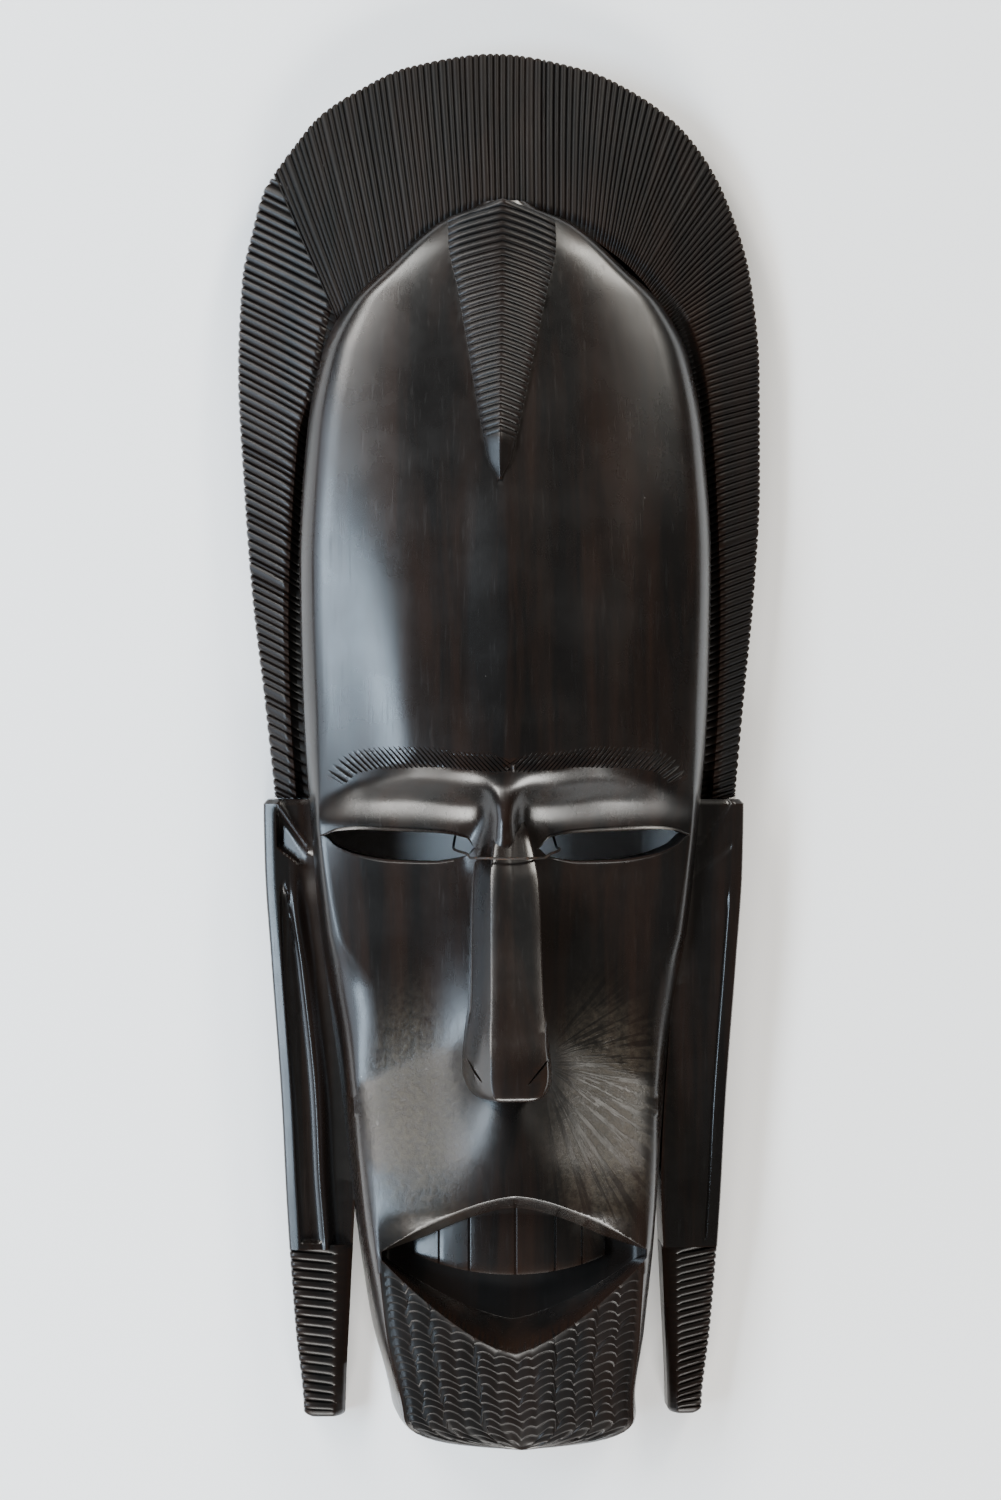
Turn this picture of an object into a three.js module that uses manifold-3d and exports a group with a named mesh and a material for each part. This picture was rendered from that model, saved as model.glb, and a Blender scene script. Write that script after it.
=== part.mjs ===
// Carved dark-wood wall mask: comb-cut hair, high forehead, slit eyes, bared teeth, beard, long ears.
// Millimetres. The mask lies on its back rim: +Z out of the face, +Y to the crown,
// +X to the right of someone who looks at the face. The origin is under the middle of its box.

import * as THREE from 'three';
import { mergeVertices } from 'three/addons/utils/BufferGeometryUtils.js';
import Module from 'manifold-3d';

const wasm = await Module();
wasm.setup();

// Whole mask
const CROWN_Y = 250;
const CHIN_Y = -246;
const CHIN_ROUND = 12;
const BELOW = -8;
const ABOVE = 120;

// Hair: a flat band round the forehead, combed outward in locks
const HAIR_END_Y = -17;
const LOCKS = 78;
const LOCK_DEPTH = 1.5;
const LOCK_SCALLOP = 1.1;
const HAIR_RIM_Z = 14;

// Face core: share of the half width where the mid line runs, and a slight keel down the forehead
const MID_SHARE = 0.45;
const CORE_COLUMNS = 8;
const KEEL = 1.2;
const KEEL_WIDTH = 16;

// Widow's peak: a roof-shaped wedge of herringbone strokes
const PEAK_TOP_Y = 194;
const PEAK_TIP_Y = 94;
const PEAK_GABLE = 9;
const PEAK_RIDGE = 5;
const PEAK_STEP = 2;
const PEAK_STROKES = 22;
const PEAK_NOTCH = 1.1;
const PEAK_BARE_Y = 110;
const PEAK_LEAN = [-1.6, -3.2];

// Brows
const BROW_STROKES = 17;
const BROW_Y = -1;
const BROW_BAND = 7;
const BROW_REACH = 61;
const BROW_FALL = 8;
const BROW_BEND = 45;
const BROW_LEAN = 1.8;
const BROW_LIFT = 1.4;

// Eye slits, cut right through
const EYE_INNER_X = 11;
const EYE_OUTER_X = 65;
const EYE_CORNER_Y = -30.5;
const EYE_TOP_Y = -29;
const EYE_BOTTOM_Y = -39.5;

// Nose
const NOSE_TOP_Y = -9;
const NOSE_TIP_Y = -120;
const NOSE_BASE_Z = 30;
const NOSE_LEAN = -1.2;

// Mouth: a leaf-shaped pocket under an arched upper lip, with six broad teeth
const MOUTH_HALF = 44;
const LIP_TOP_Y = -155;
const LIP_CORNER_Y = -174;
const LIP_HALF_WIDTH = 5;
const LOWER_LIP_Y = -210;
const POCKET_Z = 43;
const TOOTH_EDGES = [-34, -24, -14, 2.6, 16.6, 26.3, 35];
const TOOTH_TOP_Y = -160;
const TOOTH_BOTTOM_Y = -184;
const TOOTH_CORNER_Y = -177;
const TOOTH_Z = 52.5;
const TOOTH_NOTCH = 2.4;

// Beard: rows of scales in upright columns, each row dipping to the middle column by column
const BEARD_COLUMNS = 4;
const BEARD_ROWS = 11;
const BEARD_TOP_Y = -170;
const BEARD_DIP = 3;
const BEARD_LIFT = 1.3;
const BEARD_EDGE = 0.98;

// Ears
const EAR_TOP_Y = -18;
const EAR_BOTTOM_Y = -238;
const EAR_CORNER = 3;
const EAR_GROOVE = 4;
const EAR_ARCH_Y = -46;
const EAR_FRAME_END_Y = -176;
const RUNGS = { left: 17, right: 21 };
const RUNG_TILT = { left: 0, right: 2.4 };
const RUNG_DEPTH = 1.3;
const EAR_NARROWER = { left: 0, right: 3 };

// Hollow back
const WALL = 10;
const RIM = 13;
const HOLLOW_TOP_Y = 178;
const HOLLOW_BOTTOM_Y = -226;

// Hanging wire
const WIRE_R = 0.45;
const WIRE_GAP = 0.9;
const WIRE_Y = -38;
const WIRE_SIDES = 8;
const WIRE_STEPS = 30;

/** Smooth curve through [position, value] pairs that never overshoots them. */
function along(pairs) {
  const knots = [...pairs].sort((a, b) => a[0] - b[0]);
  const last = knots.length - 1;
  const rise = (i) => (knots[i + 1][1] - knots[i][1]) / (knots[i + 1][0] - knots[i][0]);
  const slopes = knots.map((knot, i) => {
    if (i === 0 || i === last) {
      return 0;
    }
    const before = rise(i - 1);
    const after = rise(i);
    return before * after <= 0 ? 0 : (2 * before * after) / (before + after);
  });
  return (position) => {
    const p = THREE.MathUtils.clamp(position, knots[0][0], knots[last][0]);
    const i = Math.min(Math.max(knots.findIndex((knot) => knot[0] > p) - 1, 0), last - 1);
    const j = knots[last][0] === p ? last - 1 : i;
    const span = knots[j + 1][0] - knots[j][0];
    const t = (p - knots[j][0]) / span;
    const a = (1 + 2 * t) * (1 - t) ** 2 * knots[j][1] + t * (1 - t) ** 2 * span * slopes[j];
    const b = t * t * (3 - 2 * t) * knots[j + 1][1] + t * t * (t - 1) * span * slopes[j + 1];
    return a + b;
  };
}

/** Numbers from first to last in equal steps, both ends included. */
function steps(first, last, count) {
  return Array.from({ length: count + 1 }, (_, i) => first + ((last - first) * i) / count);
}

/** A closed solid from corner points and triangles, turned outward. */
function solid(points, triangles) {
  let volume = 0;
  for (const [a, b, c] of triangles) {
    const [p, q, r] = [points[a], points[b], points[c]];
    volume += p[0] * (q[1] * r[2] - q[2] * r[1]);
    volume += p[1] * (q[2] * r[0] - q[0] * r[2]);
    volume += p[2] * (q[0] * r[1] - q[1] * r[0]);
  }
  const outward = volume > 0 ? triangles : triangles.map(([a, b, c]) => [a, c, b]);
  return new wasm.Manifold(new wasm.Mesh({
    numProp: 3,
    vertProperties: new Float32Array(points.flat()),
    triVerts: new Uint32Array(outward.flat()),
  }));
}

/** A closed solid through rings of equal length, with a fan over each end. */
function loft(rings) {
  const count = rings[0].length;
  const points = rings.flat();
  const triangles = [];
  for (let i = 0; i < rings.length - 1; i += 1) {
    for (let j = 0; j < count; j += 1) {
      const k = (j + 1) % count;
      const [a, b, c, d] = [i * count + j, i * count + k, (i + 1) * count + j, (i + 1) * count + k];
      triangles.push([a, b, d], [a, d, c]);
    }
  }
  for (const [ring, turned] of [[0, true], [rings.length - 1, false]]) {
    const middle = [0, 1, 2].map((axis) => rings[ring].reduce((sum, p) => sum + p[axis], 0) / count);
    const hub = points.push(middle) - 1;
    for (let j = 0; j < count; j += 1) {
      const [a, b] = [ring * count + j, ring * count + ((j + 1) % count)];
      triangles.push(turned ? [hub, b, a] : [hub, a, b]);
    }
  }
  return solid(points, triangles);
}

/** A three.js geometry as a solid. */
function fromGeometry(geometry) {
  const bare = geometry.clone();
  bare.deleteAttribute('normal');
  bare.deleteAttribute('uv');
  const merged = mergeVertices(bare, 1e-4);
  const corner = (i) => new THREE.Vector3().fromBufferAttribute(merged.attributes.position, i).toArray();
  const points = Array.from({ length: merged.attributes.position.count }, (_, i) => corner(i));
  const index = Array.from(merged.index.array);
  const triangles = [];
  for (let i = 0; i < index.length; i += 3) {
    triangles.push([index[i], index[i + 1], index[i + 2]]);
  }
  return solid(points, triangles);
}

/** A solid as a flat-shaded three.js geometry. */
function toGeometry(body) {
  const { numProp, vertProperties, triVerts } = body.getMesh();
  const positions = new Float32Array(triVerts.length * 3);
  triVerts.forEach((vertex, i) => {
    for (let axis = 0; axis < 3; axis += 1) {
      positions[3 * i + axis] = vertProperties[vertex * numProp + axis];
    }
  });
  const geometry = new THREE.BufferGeometry();
  geometry.setAttribute('position', new THREE.BufferAttribute(positions, 3));
  geometry.computeVertexNormals();
  return geometry;
}

// Half width of the face where its side wall meets hair, ear or air
const faceLine = along([
  [194, 8], [187, 24], [170, 44], [158, 56], [140, 65], [110, 70.5], [65, 73], [20, 72], [-20, 69.5],
  [-65, 65.5], [-100, 61], [-155, 55], [-205, 49], [-234, 44],
]);

function faceHalf(y) {
  const into = Math.max(0, (CHIN_Y + CHIN_ROUND - y) / CHIN_ROUND);
  return faceLine(y) * Math.max(1 - into ** 2.6, 0.02) ** 0.45;
}

/** How far the middle of the jaw leans to +X. */
const jawLean = along([[-120, 0], [-195, 1.5], [-225, 3], [-246, 5]]);

// Heights of the face along its middle, at mid cheek, on the cheek crest and at the side wall
const centreLine = along([
  [194, 31], [160, 40], [120, 47.5], [70, 53], [20, 56.5], [-6, 59], [-12, 55], [-20, 49.5], [-30, 46],
  [-60, 43], [-90, 44.5], [-115, 50], [-140, 57], [-155, 59], [-165, 57], [-210, 50], [-235, 46],
  [-246, 40],
]);
const midLine = along([
  [194, 30], [160, 37.5], [120, 44.5], [70, 50.5], [20, 54], [-6, 55.5], [-12, 50], [-20, 43], [-28, 40],
  [-38, 38.5], [-60, 35.5], [-88, 36], [-112, 43], [-135, 50.5], [-155, 54], [-170, 53], [-210, 49],
  [-235, 45], [-246, 39],
]);
const crestLine = along([
  [194, 28], [160, 33], [120, 38.5], [70, 42.5], [20, 42], [-10, 38], [-18, 36], [-28, 33], [-45, 33],
  [-85, 35], [-115, 40], [-140, 44], [-175, 45], [-210, 43], [-235, 40], [-246, 36],
]);
const edgeLine = along([
  [194, 27], [120, 30], [70, 32], [0, 31], [-28, 27], [-60, 24], [-100, 19], [-150, 12], [-246, 5],
]);

// Share of the half width where the front of the face breaks into its side wall
const crestShare = along([
  [194, 0.84], [20, 0.86], [-25, 0.95], [-65, 0.92], [-92, 0.87], [-137, 0.87], [-180, 0.91], [-246, 0.92],
]);
const keelLine = along([[110, 0], [80, KEEL], [10, KEEL], [-6, 0]]);

/** Height of the face without nose, lips and strokes, at a place measured from the jaw's own middle. */
function faceHeight(x, y) {
  const share = Math.min(Math.abs(x) / faceHalf(y), 1);
  const across = along([
    [0, centreLine(y)], [MID_SHARE, midLine(y)], [crestShare(y), crestLine(y)], [1, edgeLine(y)],
  ]);
  return across(share) + keelLine(y) * Math.max(0, 1 - Math.abs(x) / KEEL_WIDTH);
}

/** The same ring of points, moved across with the leaning jaw. */
function leaning(ring) {
  return ring.map(([x, y, z]) => [x + jawLean(y), y, z]);
}

function faceCore() {
  const stations = [
    194, 190, 185, 178, 169, 159, 148, 134, 118, 100, 80, 60, 40, 22, 8, -1, -6, -9, -12, -16, -21, -27,
    -34, -42, -52, -65, -80, -95, -112, -128, -143, -157, -172, -190, -212, -234, -238, -241, -243.5,
    -245.2, CHIN_Y,
  ];
  return loft(stations.map((y) => {
    const half = faceHalf(y);
    const crest = crestShare(y);
    const inner = steps(0, crest, CORE_COLUMNS - 2);
    const right = [...inner, (crest + 1) / 2, 1];
    const shares = [...right.slice(1).map((share) => -share).reverse(), ...right];
    const top = shares.map((share) => [share * half, y, faceHeight(share * half, y)]);
    return leaning([...top, [half, y, BELOW], [-half, y, BELOW]]);
  }));
}

/** How far the middle of the hair leans to +X: the crown stands a little to the left. */
const hairLean = along([[-17, 1], [50, 0.3], [125, -1], [160, -1.8], [205, -3], [250, -3]]);

// Outer line of the hair, from the left end over the crown to the right end
const hairSide = [
  [83, HAIR_END_Y], [86.5, 18], [90.5, 55], [93.2, 95], [94, 135], [91.8, 168], [83, 200], [69, 222],
  [52, 235], [31, 245],
];
const hairLine = new THREE.CatmullRomCurve3([
  ...hairSide.map(([x, y]) => new THREE.Vector3(hairLean(y) - x, y, 0)),
  new THREE.Vector3(hairLean(CROWN_Y), CROWN_Y, 0),
  ...[...hairSide].reverse().map(([x, y]) => new THREE.Vector3(hairLean(y) + x, y, 0)),
], false, 'centripetal');

// Inner line of the hair, tucked under the forehead: the locks lean outward and upward on the sides
const hairRoot = new THREE.CatmullRomCurve3([
  [-63, HAIR_END_Y - 8], [-66, 55], [-62, 125], [-45, 160], [-20, 180], [0, 186],
  [20, 180], [45, 160], [62, 125], [66, 55], [63, HAIR_END_Y - 8],
].map(([x, y]) => new THREE.Vector3(x, y, 0)), false, 'centripetal');

const hairRise = along([[-20, 9], [60, 10], [160, 12], [250, 16]]);

function hair() {
  const columns = LOCKS * 2;
  const outer = hairLine.getSpacedPoints(columns);
  const inner = hairRoot.getSpacedPoints(columns);
  return loft(outer.map((tip, i) => {
    const root = inner[i];
    const valley = i % 2;
    const out = new THREE.Vector3().subVectors(tip, root);
    const length = out.length();
    out.normalize();
    const at = (distance, z) => [root.x + out.x * distance, root.y + out.y * distance, z];
    const rise = hairRise(tip.y);
    const cut = LOCK_DEPTH * valley;
    const reach = length - LOCK_SCALLOP * valley;
    return [
      at(0, HAIR_RIM_Z + rise - cut),
      at(reach - 1, HAIR_RIM_Z - cut),
      at(reach, HAIR_RIM_Z - 2 - cut),
      at(reach - 0.5, BELOW),
      at(0, BELOW),
    ];
  }));
}

// Widow's peak
const peakHalf = along([[185, 19], [165, 15.5], [143, 11.5], [127, 8.8], [112, 6], [101, 3.8], [94, 0.8]]);

function peakAxis(y) {
  return THREE.MathUtils.mapLinear(y, PEAK_TOP_Y, PEAK_TIP_Y, ...PEAK_LEAN);
}

function widowsPeak() {
  const rowStep = (PEAK_TOP_Y - PEAK_BARE_Y) / PEAK_STROKES;
  const carved = steps(0, PEAK_STROKES - 1, PEAK_STROKES - 1).flatMap((i) => [
    [PEAK_TOP_Y - (i + 0.15) * rowStep, 0],
    [PEAK_TOP_Y - (i + 0.8) * rowStep, PEAK_NOTCH],
  ]);
  const bare = [[PEAK_BARE_Y, 0], [102, 0], [97, 0], [PEAK_TIP_Y, 0]];
  return loft([...carved, ...bare].map(([y, notch]) => {
    const fade = Math.min(1, 0.3 + (y - PEAK_TIP_Y) / 20);
    const half = peakHalf(y);
    const x = peakAxis(y);
    const gable = PEAK_GABLE * (half / peakHalf(PEAK_TOP_Y)) * fade;
    const point = (side, lift) => {
      const sideY = y - gable * Math.abs(side);
      return [x + side * half, sideY, faceHeight(x + side * half, sideY) + lift];
    };
    return [
      point(-1, -5), point(-1, PEAK_STEP * fade - notch), point(0, PEAK_RIDGE * fade - notch),
      point(1, PEAK_STEP * fade - notch), point(1, -5),
    ];
  }));
}


/** One brow: a low rack of slanting strokes from beside the nose to the side of the face. */
function brow(side) {
  const strokes = steps(0, BROW_STROKES, BROW_STROKES).flatMap((i) => {
    const x = 1.5 + (i * (BROW_REACH - 1.5)) / BROW_STROKES;
    return [[x, 0], [x + 1.9, 1]];
  });
  return loft(strokes.map(([x, cut]) => {
    const fall = -BROW_FALL * Math.max(0, (x - BROW_BEND) / (BROW_REACH - BROW_BEND)) ** 2;
    const at = (y, lean, lift) => [side * (x + lean), y + fall, faceHeight(x + lean, y + fall) + lift];
    const lift = BROW_LIFT * (1 - cut * 0.85);
    return [
      at(BROW_Y + BROW_BAND * 0.5, BROW_LEAN, -5), at(BROW_Y + BROW_BAND * 0.5, BROW_LEAN, lift * 0.6),
      at(BROW_Y - BROW_BAND * 0.35, -BROW_LEAN, lift), at(BROW_Y - BROW_BAND * 0.6, -BROW_LEAN, -5),
    ];
  }));
}

/** A slit with an almost straight upper lid and a bowed lower lid, on the side given by -1 or 1. */
function eyeSlit(side) {
  const outline = new THREE.Shape();
  const span = EYE_OUTER_X - EYE_INNER_X;
  outline.moveTo(side * EYE_INNER_X, EYE_CORNER_Y - 4.5);
  outline.bezierCurveTo(
    side * (EYE_INNER_X + span * 0.3), EYE_TOP_Y - 0.5,
    side * (EYE_INNER_X + span * 0.75), EYE_TOP_Y + 1.2,
    side * EYE_OUTER_X, EYE_CORNER_Y,
  );
  outline.bezierCurveTo(
    side * (EYE_INNER_X + span * 0.75), EYE_BOTTOM_Y - 1.5,
    side * (EYE_INNER_X + span * 0.3), EYE_BOTTOM_Y - 1,
    side * EYE_INNER_X, EYE_CORNER_Y - 4.5,
  );
  const through = { depth: ABOVE, bevelEnabled: false, curveSegments: 10 };
  const geometry = new THREE.ExtrudeGeometry(outline, through);
  geometry.translate(0, 0, BELOW);
  return fromGeometry(geometry);
}

// Nose
const noseHalf = along([
  [-9, 2], [-20, 4.5], [-31, 9], [-45, 12], [-90, 12.5], [-104, 14.8], [-114, 15], [-120, 9],
]);
const noseFront = along([
  [-9, 0.6], [-20, 1.5], [-31, 4.5], [-45, 5.5], [-90, 6.5], [-110, 8], [-116, 8], [-120, 5.5],
]);
const noseRidge = along([
  [-9, 58], [-20, 54.5], [-31, 54.5], [-45, 58], [-70, 65], [-95, 72.5], [-111, 76.5], [-116, 76],
  [-120, 73],
]);

function nose() {
  const stations = [
    NOSE_TOP_Y, -14, -20, -26, -32, -39, -48, -60, -75, -90, -98, -105, -111, -115, -118, NOSE_TIP_Y,
  ];
  return loft(stations.map((y) => {
    const [half, front, z] = [noseHalf(y), noseFront(y), noseRidge(y)];
    const flank = z - (half - front) * 1.5;
    const x = NOSE_LEAN * Math.min(1, (NOSE_TOP_Y - y) / 40);
    return [
      [x - half, y, NOSE_BASE_Z], [x - half, y, flank], [x - front, y, z - 0.6], [x, y, z],
      [x + front, y, z - 0.6], [x + half, y, flank], [x + half, y, NOSE_BASE_Z],
    ];
  }));
}

// Mouth
function lipY(x) {
  return LIP_TOP_Y + (LIP_CORNER_Y - LIP_TOP_Y) * (Math.abs(x) / MOUTH_HALF) ** 1.5;
}

function lowerLipY(x) {
  return LOWER_LIP_Y + (LIP_CORNER_Y - 5 - LOWER_LIP_Y) * (Math.abs(x) / MOUTH_HALF) ** 1.7;
}

function mouthPocket() {
  return loft(steps(-MOUTH_HALF + 3, MOUTH_HALF - 3, 18).map((x) => {
    const top = lipY(x) - 2;
    const low = lowerLipY(x);
    const depth = 1 - 0.35 * (x / MOUTH_HALF) ** 2;
    const face = faceHeight(x, low);
    const floor = face - (face - POCKET_Z) * depth;
    const fold = top + (low - top) * 0.62;
    return [
      [x, top, ABOVE], [x, top, floor + 1], [x, fold, floor], [x, low + 3, face - 1], [x, low, face + 1],
      [x, low, ABOVE],
    ];
  }));
}

function upperLip() {
  return loft(steps(-MOUTH_HALF - 2, MOUTH_HALF + 2, 18).map((x) => {
    const y = lipY(x);
    const fade = 1 - 0.75 * (Math.abs(x) / (MOUTH_HALF + 2)) ** 3;
    const crest = faceHeight(x, y) + 4 * fade;
    const half = LIP_HALF_WIDTH * fade;
    return [
      [x, y + half * 1.6, crest - 14], [x, y + half * 1.6, crest - 4 * fade], [x, y + 1, crest],
      [x, y - 1, crest], [x, y - half, crest - 4.5], [x, y - half, crest - 14],
    ];
  }));
}

/** Outline of the row of teeth: half height above and below at a place across the mouth. */
function toothY(x, edge) {
  const share = Math.min(Math.abs(x) / 36, 1);
  return TOOTH_CORNER_Y + (edge - TOOTH_CORNER_Y) * (1 - share ** 2.2);
}

function teeth() {
  const rings = [];
  for (let i = 0; i < TOOTH_EDGES.length - 1; i += 1) {
    const [from, to] = [TOOTH_EDGES[i], TOOTH_EDGES[i + 1]];
    const width = to - from;
    for (const [share, drop] of [[0, TOOTH_NOTCH], [0.1, 0.2], [0.5, 0], [0.9, 0.2]]) {
      rings.push([from + width * share, drop]);
    }
  }
  rings.push([TOOTH_EDGES.at(-1), TOOTH_NOTCH]);
  return loft(rings.map(([x, drop]) => {
    const top = toothY(x, TOOTH_TOP_Y) + 5;
    const low = toothY(x, TOOTH_BOTTOM_Y) + drop * 0.4 - 1;
    const z = TOOTH_Z - drop - 3.5 * (x / 36) ** 2;
    return [[x, top, 38], [x, top, z], [x, low + 1, z - 0.5], [x, low, z - 1.5], [x, low, 38]];
  }));
}

function beard() {
  const shares = [];
  for (let column = 0; column < BEARD_COLUMNS; column += 1) {
    shares.push([column / BEARD_COLUMNS + 0.01, 1], [(column + 1) / BEARD_COLUMNS - 0.01, 0]);
  }
  const line = [...shares.map(([share, dip]) => [-share, dip]).reverse(), ...shares];
  const rowStep = (BEARD_TOP_Y - CHIN_Y - BEARD_DIP - 2) / BEARD_ROWS;
  const rows = steps(0, BEARD_ROWS - 1, BEARD_ROWS - 1).flatMap((row) => [
    [BEARD_TOP_Y - row * rowStep, BEARD_LIFT * 0.35],
    [BEARD_TOP_Y - (row + 0.9) * rowStep, BEARD_LIFT],
  ]);
  return loft(rows.map(([y, lift]) => {
    const edge = faceHalf(y - BEARD_DIP) * crestShare(y) * BEARD_EDGE;
    const top = line.map(([share, dip]) => {
      const rowY = y - dip * BEARD_DIP;
      return [share * edge, rowY, faceHeight(share * edge, rowY) + lift];
    });
    return leaning([...top, [edge, y, 24], [-edge, y, 24]]);
  }));
}

// Ears: long bars with a rail, a groove, a ridge and a valley, over a ladder of rungs
const earOuter = along([
  [-18, 85.8], [-40, 85.4], [-76, 83], [-126, 79.4], [-162, 77.6], [-208, 74.4], [-238, 71.5],
]);
const earInner = along([[-18, 62], [-100, 56], [-155, 53.2], [-190, 54.6], [-238, 56.5]]);
const earTop = along([[-18, 23], [-60, 24], [-120, 22.5], [-180, 20.5], [-238, 16.5]]);

/** One ear down to the end of its frame, on the side given by -1 or 1. */
function earFrame(side) {
  const name = side < 0 ? 'left' : 'right';
  const stations = [
    EAR_TOP_Y, -19.5, -24, -33, -37, EAR_ARCH_Y, -50, -60, -80, -105, -130, -155, -171, EAR_FRAME_END_Y,
    EAR_FRAME_END_Y - 2,
  ];
  const shares = [0, 0.06, 0.17, 0.22, 0.4, 0.45, 0.6, 0.66, 0.85, 1];
  const plain = [1.5, 0, 0, 0, 0, 0, 0.1, 0.2, 0.4, 0.6];
  const frame = [1.5, 0, 0.2, 1, 1, 0.1, 0.1, 0.9, 1, 0.6];
  const pocket = [1.5, 0, 0.3, 0.9, 1, 1, 0.8, 0.6, 0.5, 0.4];
  const depthsAt = (y) => {
    if (y < -21 && y > -36) {
      return pocket;
    }
    return y < EAR_ARCH_Y && y > EAR_FRAME_END_Y ? frame : plain;
  };
  return loft(stations.map((y) => {
    const outer = earOuter(y) - (y > -19 ? 1.2 : 0);
    const inner = earInner(y) + EAR_NARROWER[name];
    const depths = depthsAt(y);
    const top = shares.map((share, i) => {
      const x = outer + (inner - outer) * share;
      return [side * x, y, earTop(y) - depths[i] * (i === 0 ? 1 : EAR_GROOVE)];
    });
    return [...top, [side * inner, y, BELOW], [side * outer, y, BELOW]];
  }));
}

/** The ladder of rungs below an ear's frame, with a plain bevel on the inner side. */
function earLadder(side) {
  const name = side < 0 ? 'left' : 'right';
  const pitch = (EAR_FRAME_END_Y - 1 - EAR_BOTTOM_Y - EAR_CORNER) / RUNGS[name];
  const rungs = steps(0, RUNGS[name] - 1, RUNGS[name] - 1).flatMap((i) => {
    const y = EAR_FRAME_END_Y - 1 - i * pitch;
    return [[y, RUNG_DEPTH], [y - pitch * 0.55, 0]];
  });
  const end = [[EAR_BOTTOM_Y + EAR_CORNER, 0], [EAR_BOTTOM_Y + 0.8, 0.4], [EAR_BOTTOM_Y, 1.2]];
  return loft([...rungs, ...end].map(([y, cut]) => {
    const corner = Math.max(0, (EAR_BOTTOM_Y + EAR_CORNER - y) / EAR_CORNER);
    const tilt = RUNG_TILT[name] * Math.min(1, (y - EAR_BOTTOM_Y) / 12);
    const outer = earOuter(y) - corner * 2;
    const inner = earInner(y) + EAR_NARROWER[name] + corner * 0.8;
    const z = earTop(y) - 0.8;
    const at = (share, shift, drop) => [side * (outer + (inner - outer) * share), y + shift, z - drop];
    return [
      [side * outer, y, BELOW], at(0, 0, 1.2 + cut), at(0.1, 0, cut), at(0.72, -tilt, cut),
      at(0.8, -tilt, 0.4), at(1, -tilt, 3), [side * inner, y - tilt, BELOW],
    ];
  }));
}

const behindMouth = along([[-115, 60], [-145, POCKET_Z], [-215, POCKET_Z]]);

/** The space behind the face, open at the back, with a rounded roof. */
function hollow() {
  const shares = [-1, -0.9, -0.6, -0.3, 0, 0.3, 0.6, 0.9, 1];
  return loft(steps(HOLLOW_TOP_Y, HOLLOW_BOTTOM_Y, 18).map((y) => {
    const ends = Math.min((HOLLOW_TOP_Y - y) / 30, (y - HOLLOW_BOTTOM_Y) / 22, 1);
    const rounded = Math.sqrt(Math.max(1 - (1 - ends) ** 2, 0.05));
    const half = Math.max(faceHalf(y) - RIM, 6) * rounded ** 0.6;
    const top = shares.map((share) => {
      const x = share * half;
      const bowl = Math.max(1 - share ** 4, 0.06);
      const roof = Math.min(faceHeight(x, y), midLine(y) + 3, behindMouth(y)) - WALL;
      return [x, y, roof * bowl * rounded];
    });
    return leaning([...top, [half, y, BELOW - 4], [-half, y, BELOW - 4]]);
  }));
}

function carvedMask() {
  const { Manifold } = wasm;
  const head = Manifold.union([
    faceCore(), hair(), widowsPeak(), brow(-1), brow(1), nose(), beard(), earFrame(-1), earFrame(1),
    earLadder(-1), earLadder(1),
  ]);
  const mouth = Manifold.difference([head, mouthPocket()]);
  const faced = Manifold.union([mouth, upperLip(), teeth()]);
  const floor = fromGeometry(new THREE.BoxGeometry(400, 700, 40).translate(0, 0, -20));
  return Manifold.difference([faced, hollow(), eyeSlit(-1), eyeSlit(1), floor]);
}

/** The wire's middle line: up behind the forehead, out through both slits, over the nose bridge. */
function wireRoute() {
  const y = WIRE_Y;
  const over = noseRidge(y) + WIRE_R + WIRE_GAP;
  const flank = noseHalf(y) + WIRE_R + WIRE_GAP;
  const shoulder = noseFront(y) + WIRE_R + WIRE_GAP;
  const side = (sign) => [
    [sign * 0.9, 22, 27], [sign * 3, 12, 26], [sign * 12, -12, 22], [sign * 17.5, -31, 21],
    [sign * 18.4, -35, 27], [sign * 18.6, -35.3, 38], [sign * 17.4, -35.8, 46],
    [sign * 14.6, y + 1.4, 50.8],
    [sign * flank + NOSE_LEAN, y, over - 5.2], [sign * shoulder + NOSE_LEAN, y, over - 0.8],
  ];
  const points = [...side(-1), [NOSE_LEAN, y, over + 0.2], ...side(1).reverse()];
  return new THREE.CatmullRomCurve3(points.map((p) => new THREE.Vector3(...p)), false, 'centripetal');
}

function hangingWire() {
  const ring = steps(0, WIRE_SIDES, WIRE_SIDES).slice(0, -1).map((i) => {
    const angle = (i * 2 * Math.PI) / WIRE_SIDES;
    return new THREE.Vector2(Math.cos(angle) * WIRE_R, Math.sin(angle) * WIRE_R);
  });
  return new THREE.ExtrudeGeometry(new THREE.Shape(ring), { steps: WIRE_STEPS, extrudePath: wireRoute() });
}

const group = new THREE.Group();

const mask = new THREE.Mesh(
  toGeometry(carvedMask()),
  new THREE.MeshStandardMaterial({ color: 0x211a17, roughness: 0.38, metalness: 0 }),
);
mask.name = 'mask';
group.add(mask);

const wire = new THREE.Mesh(
  hangingWire(),
  new THREE.MeshStandardMaterial({ color: 0x2a2624, roughness: 0.5, metalness: 0.7 }),
);
wire.name = 'hanging_wire';
group.add(wire);

const box = new THREE.Box3().setFromObject(mask);
const middle = box.getCenter(new THREE.Vector3());
group.position.set(-middle.x, -middle.y, -box.min.z);

export default group;
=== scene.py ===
# %% [markdown]
# A carved mask of black wood: hair combed outward in gouge strokes, a high polished forehead with a
# herringbone widow's peak, slit eyes, bared teeth, a beard of small scales and two long hanging ears.
# It is one block of wood, so it becomes one closed mesh, and a bent wire round the nose hangs it up.
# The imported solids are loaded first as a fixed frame; everything below is dressed on to them.

# %% Load the frame
import math

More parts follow.
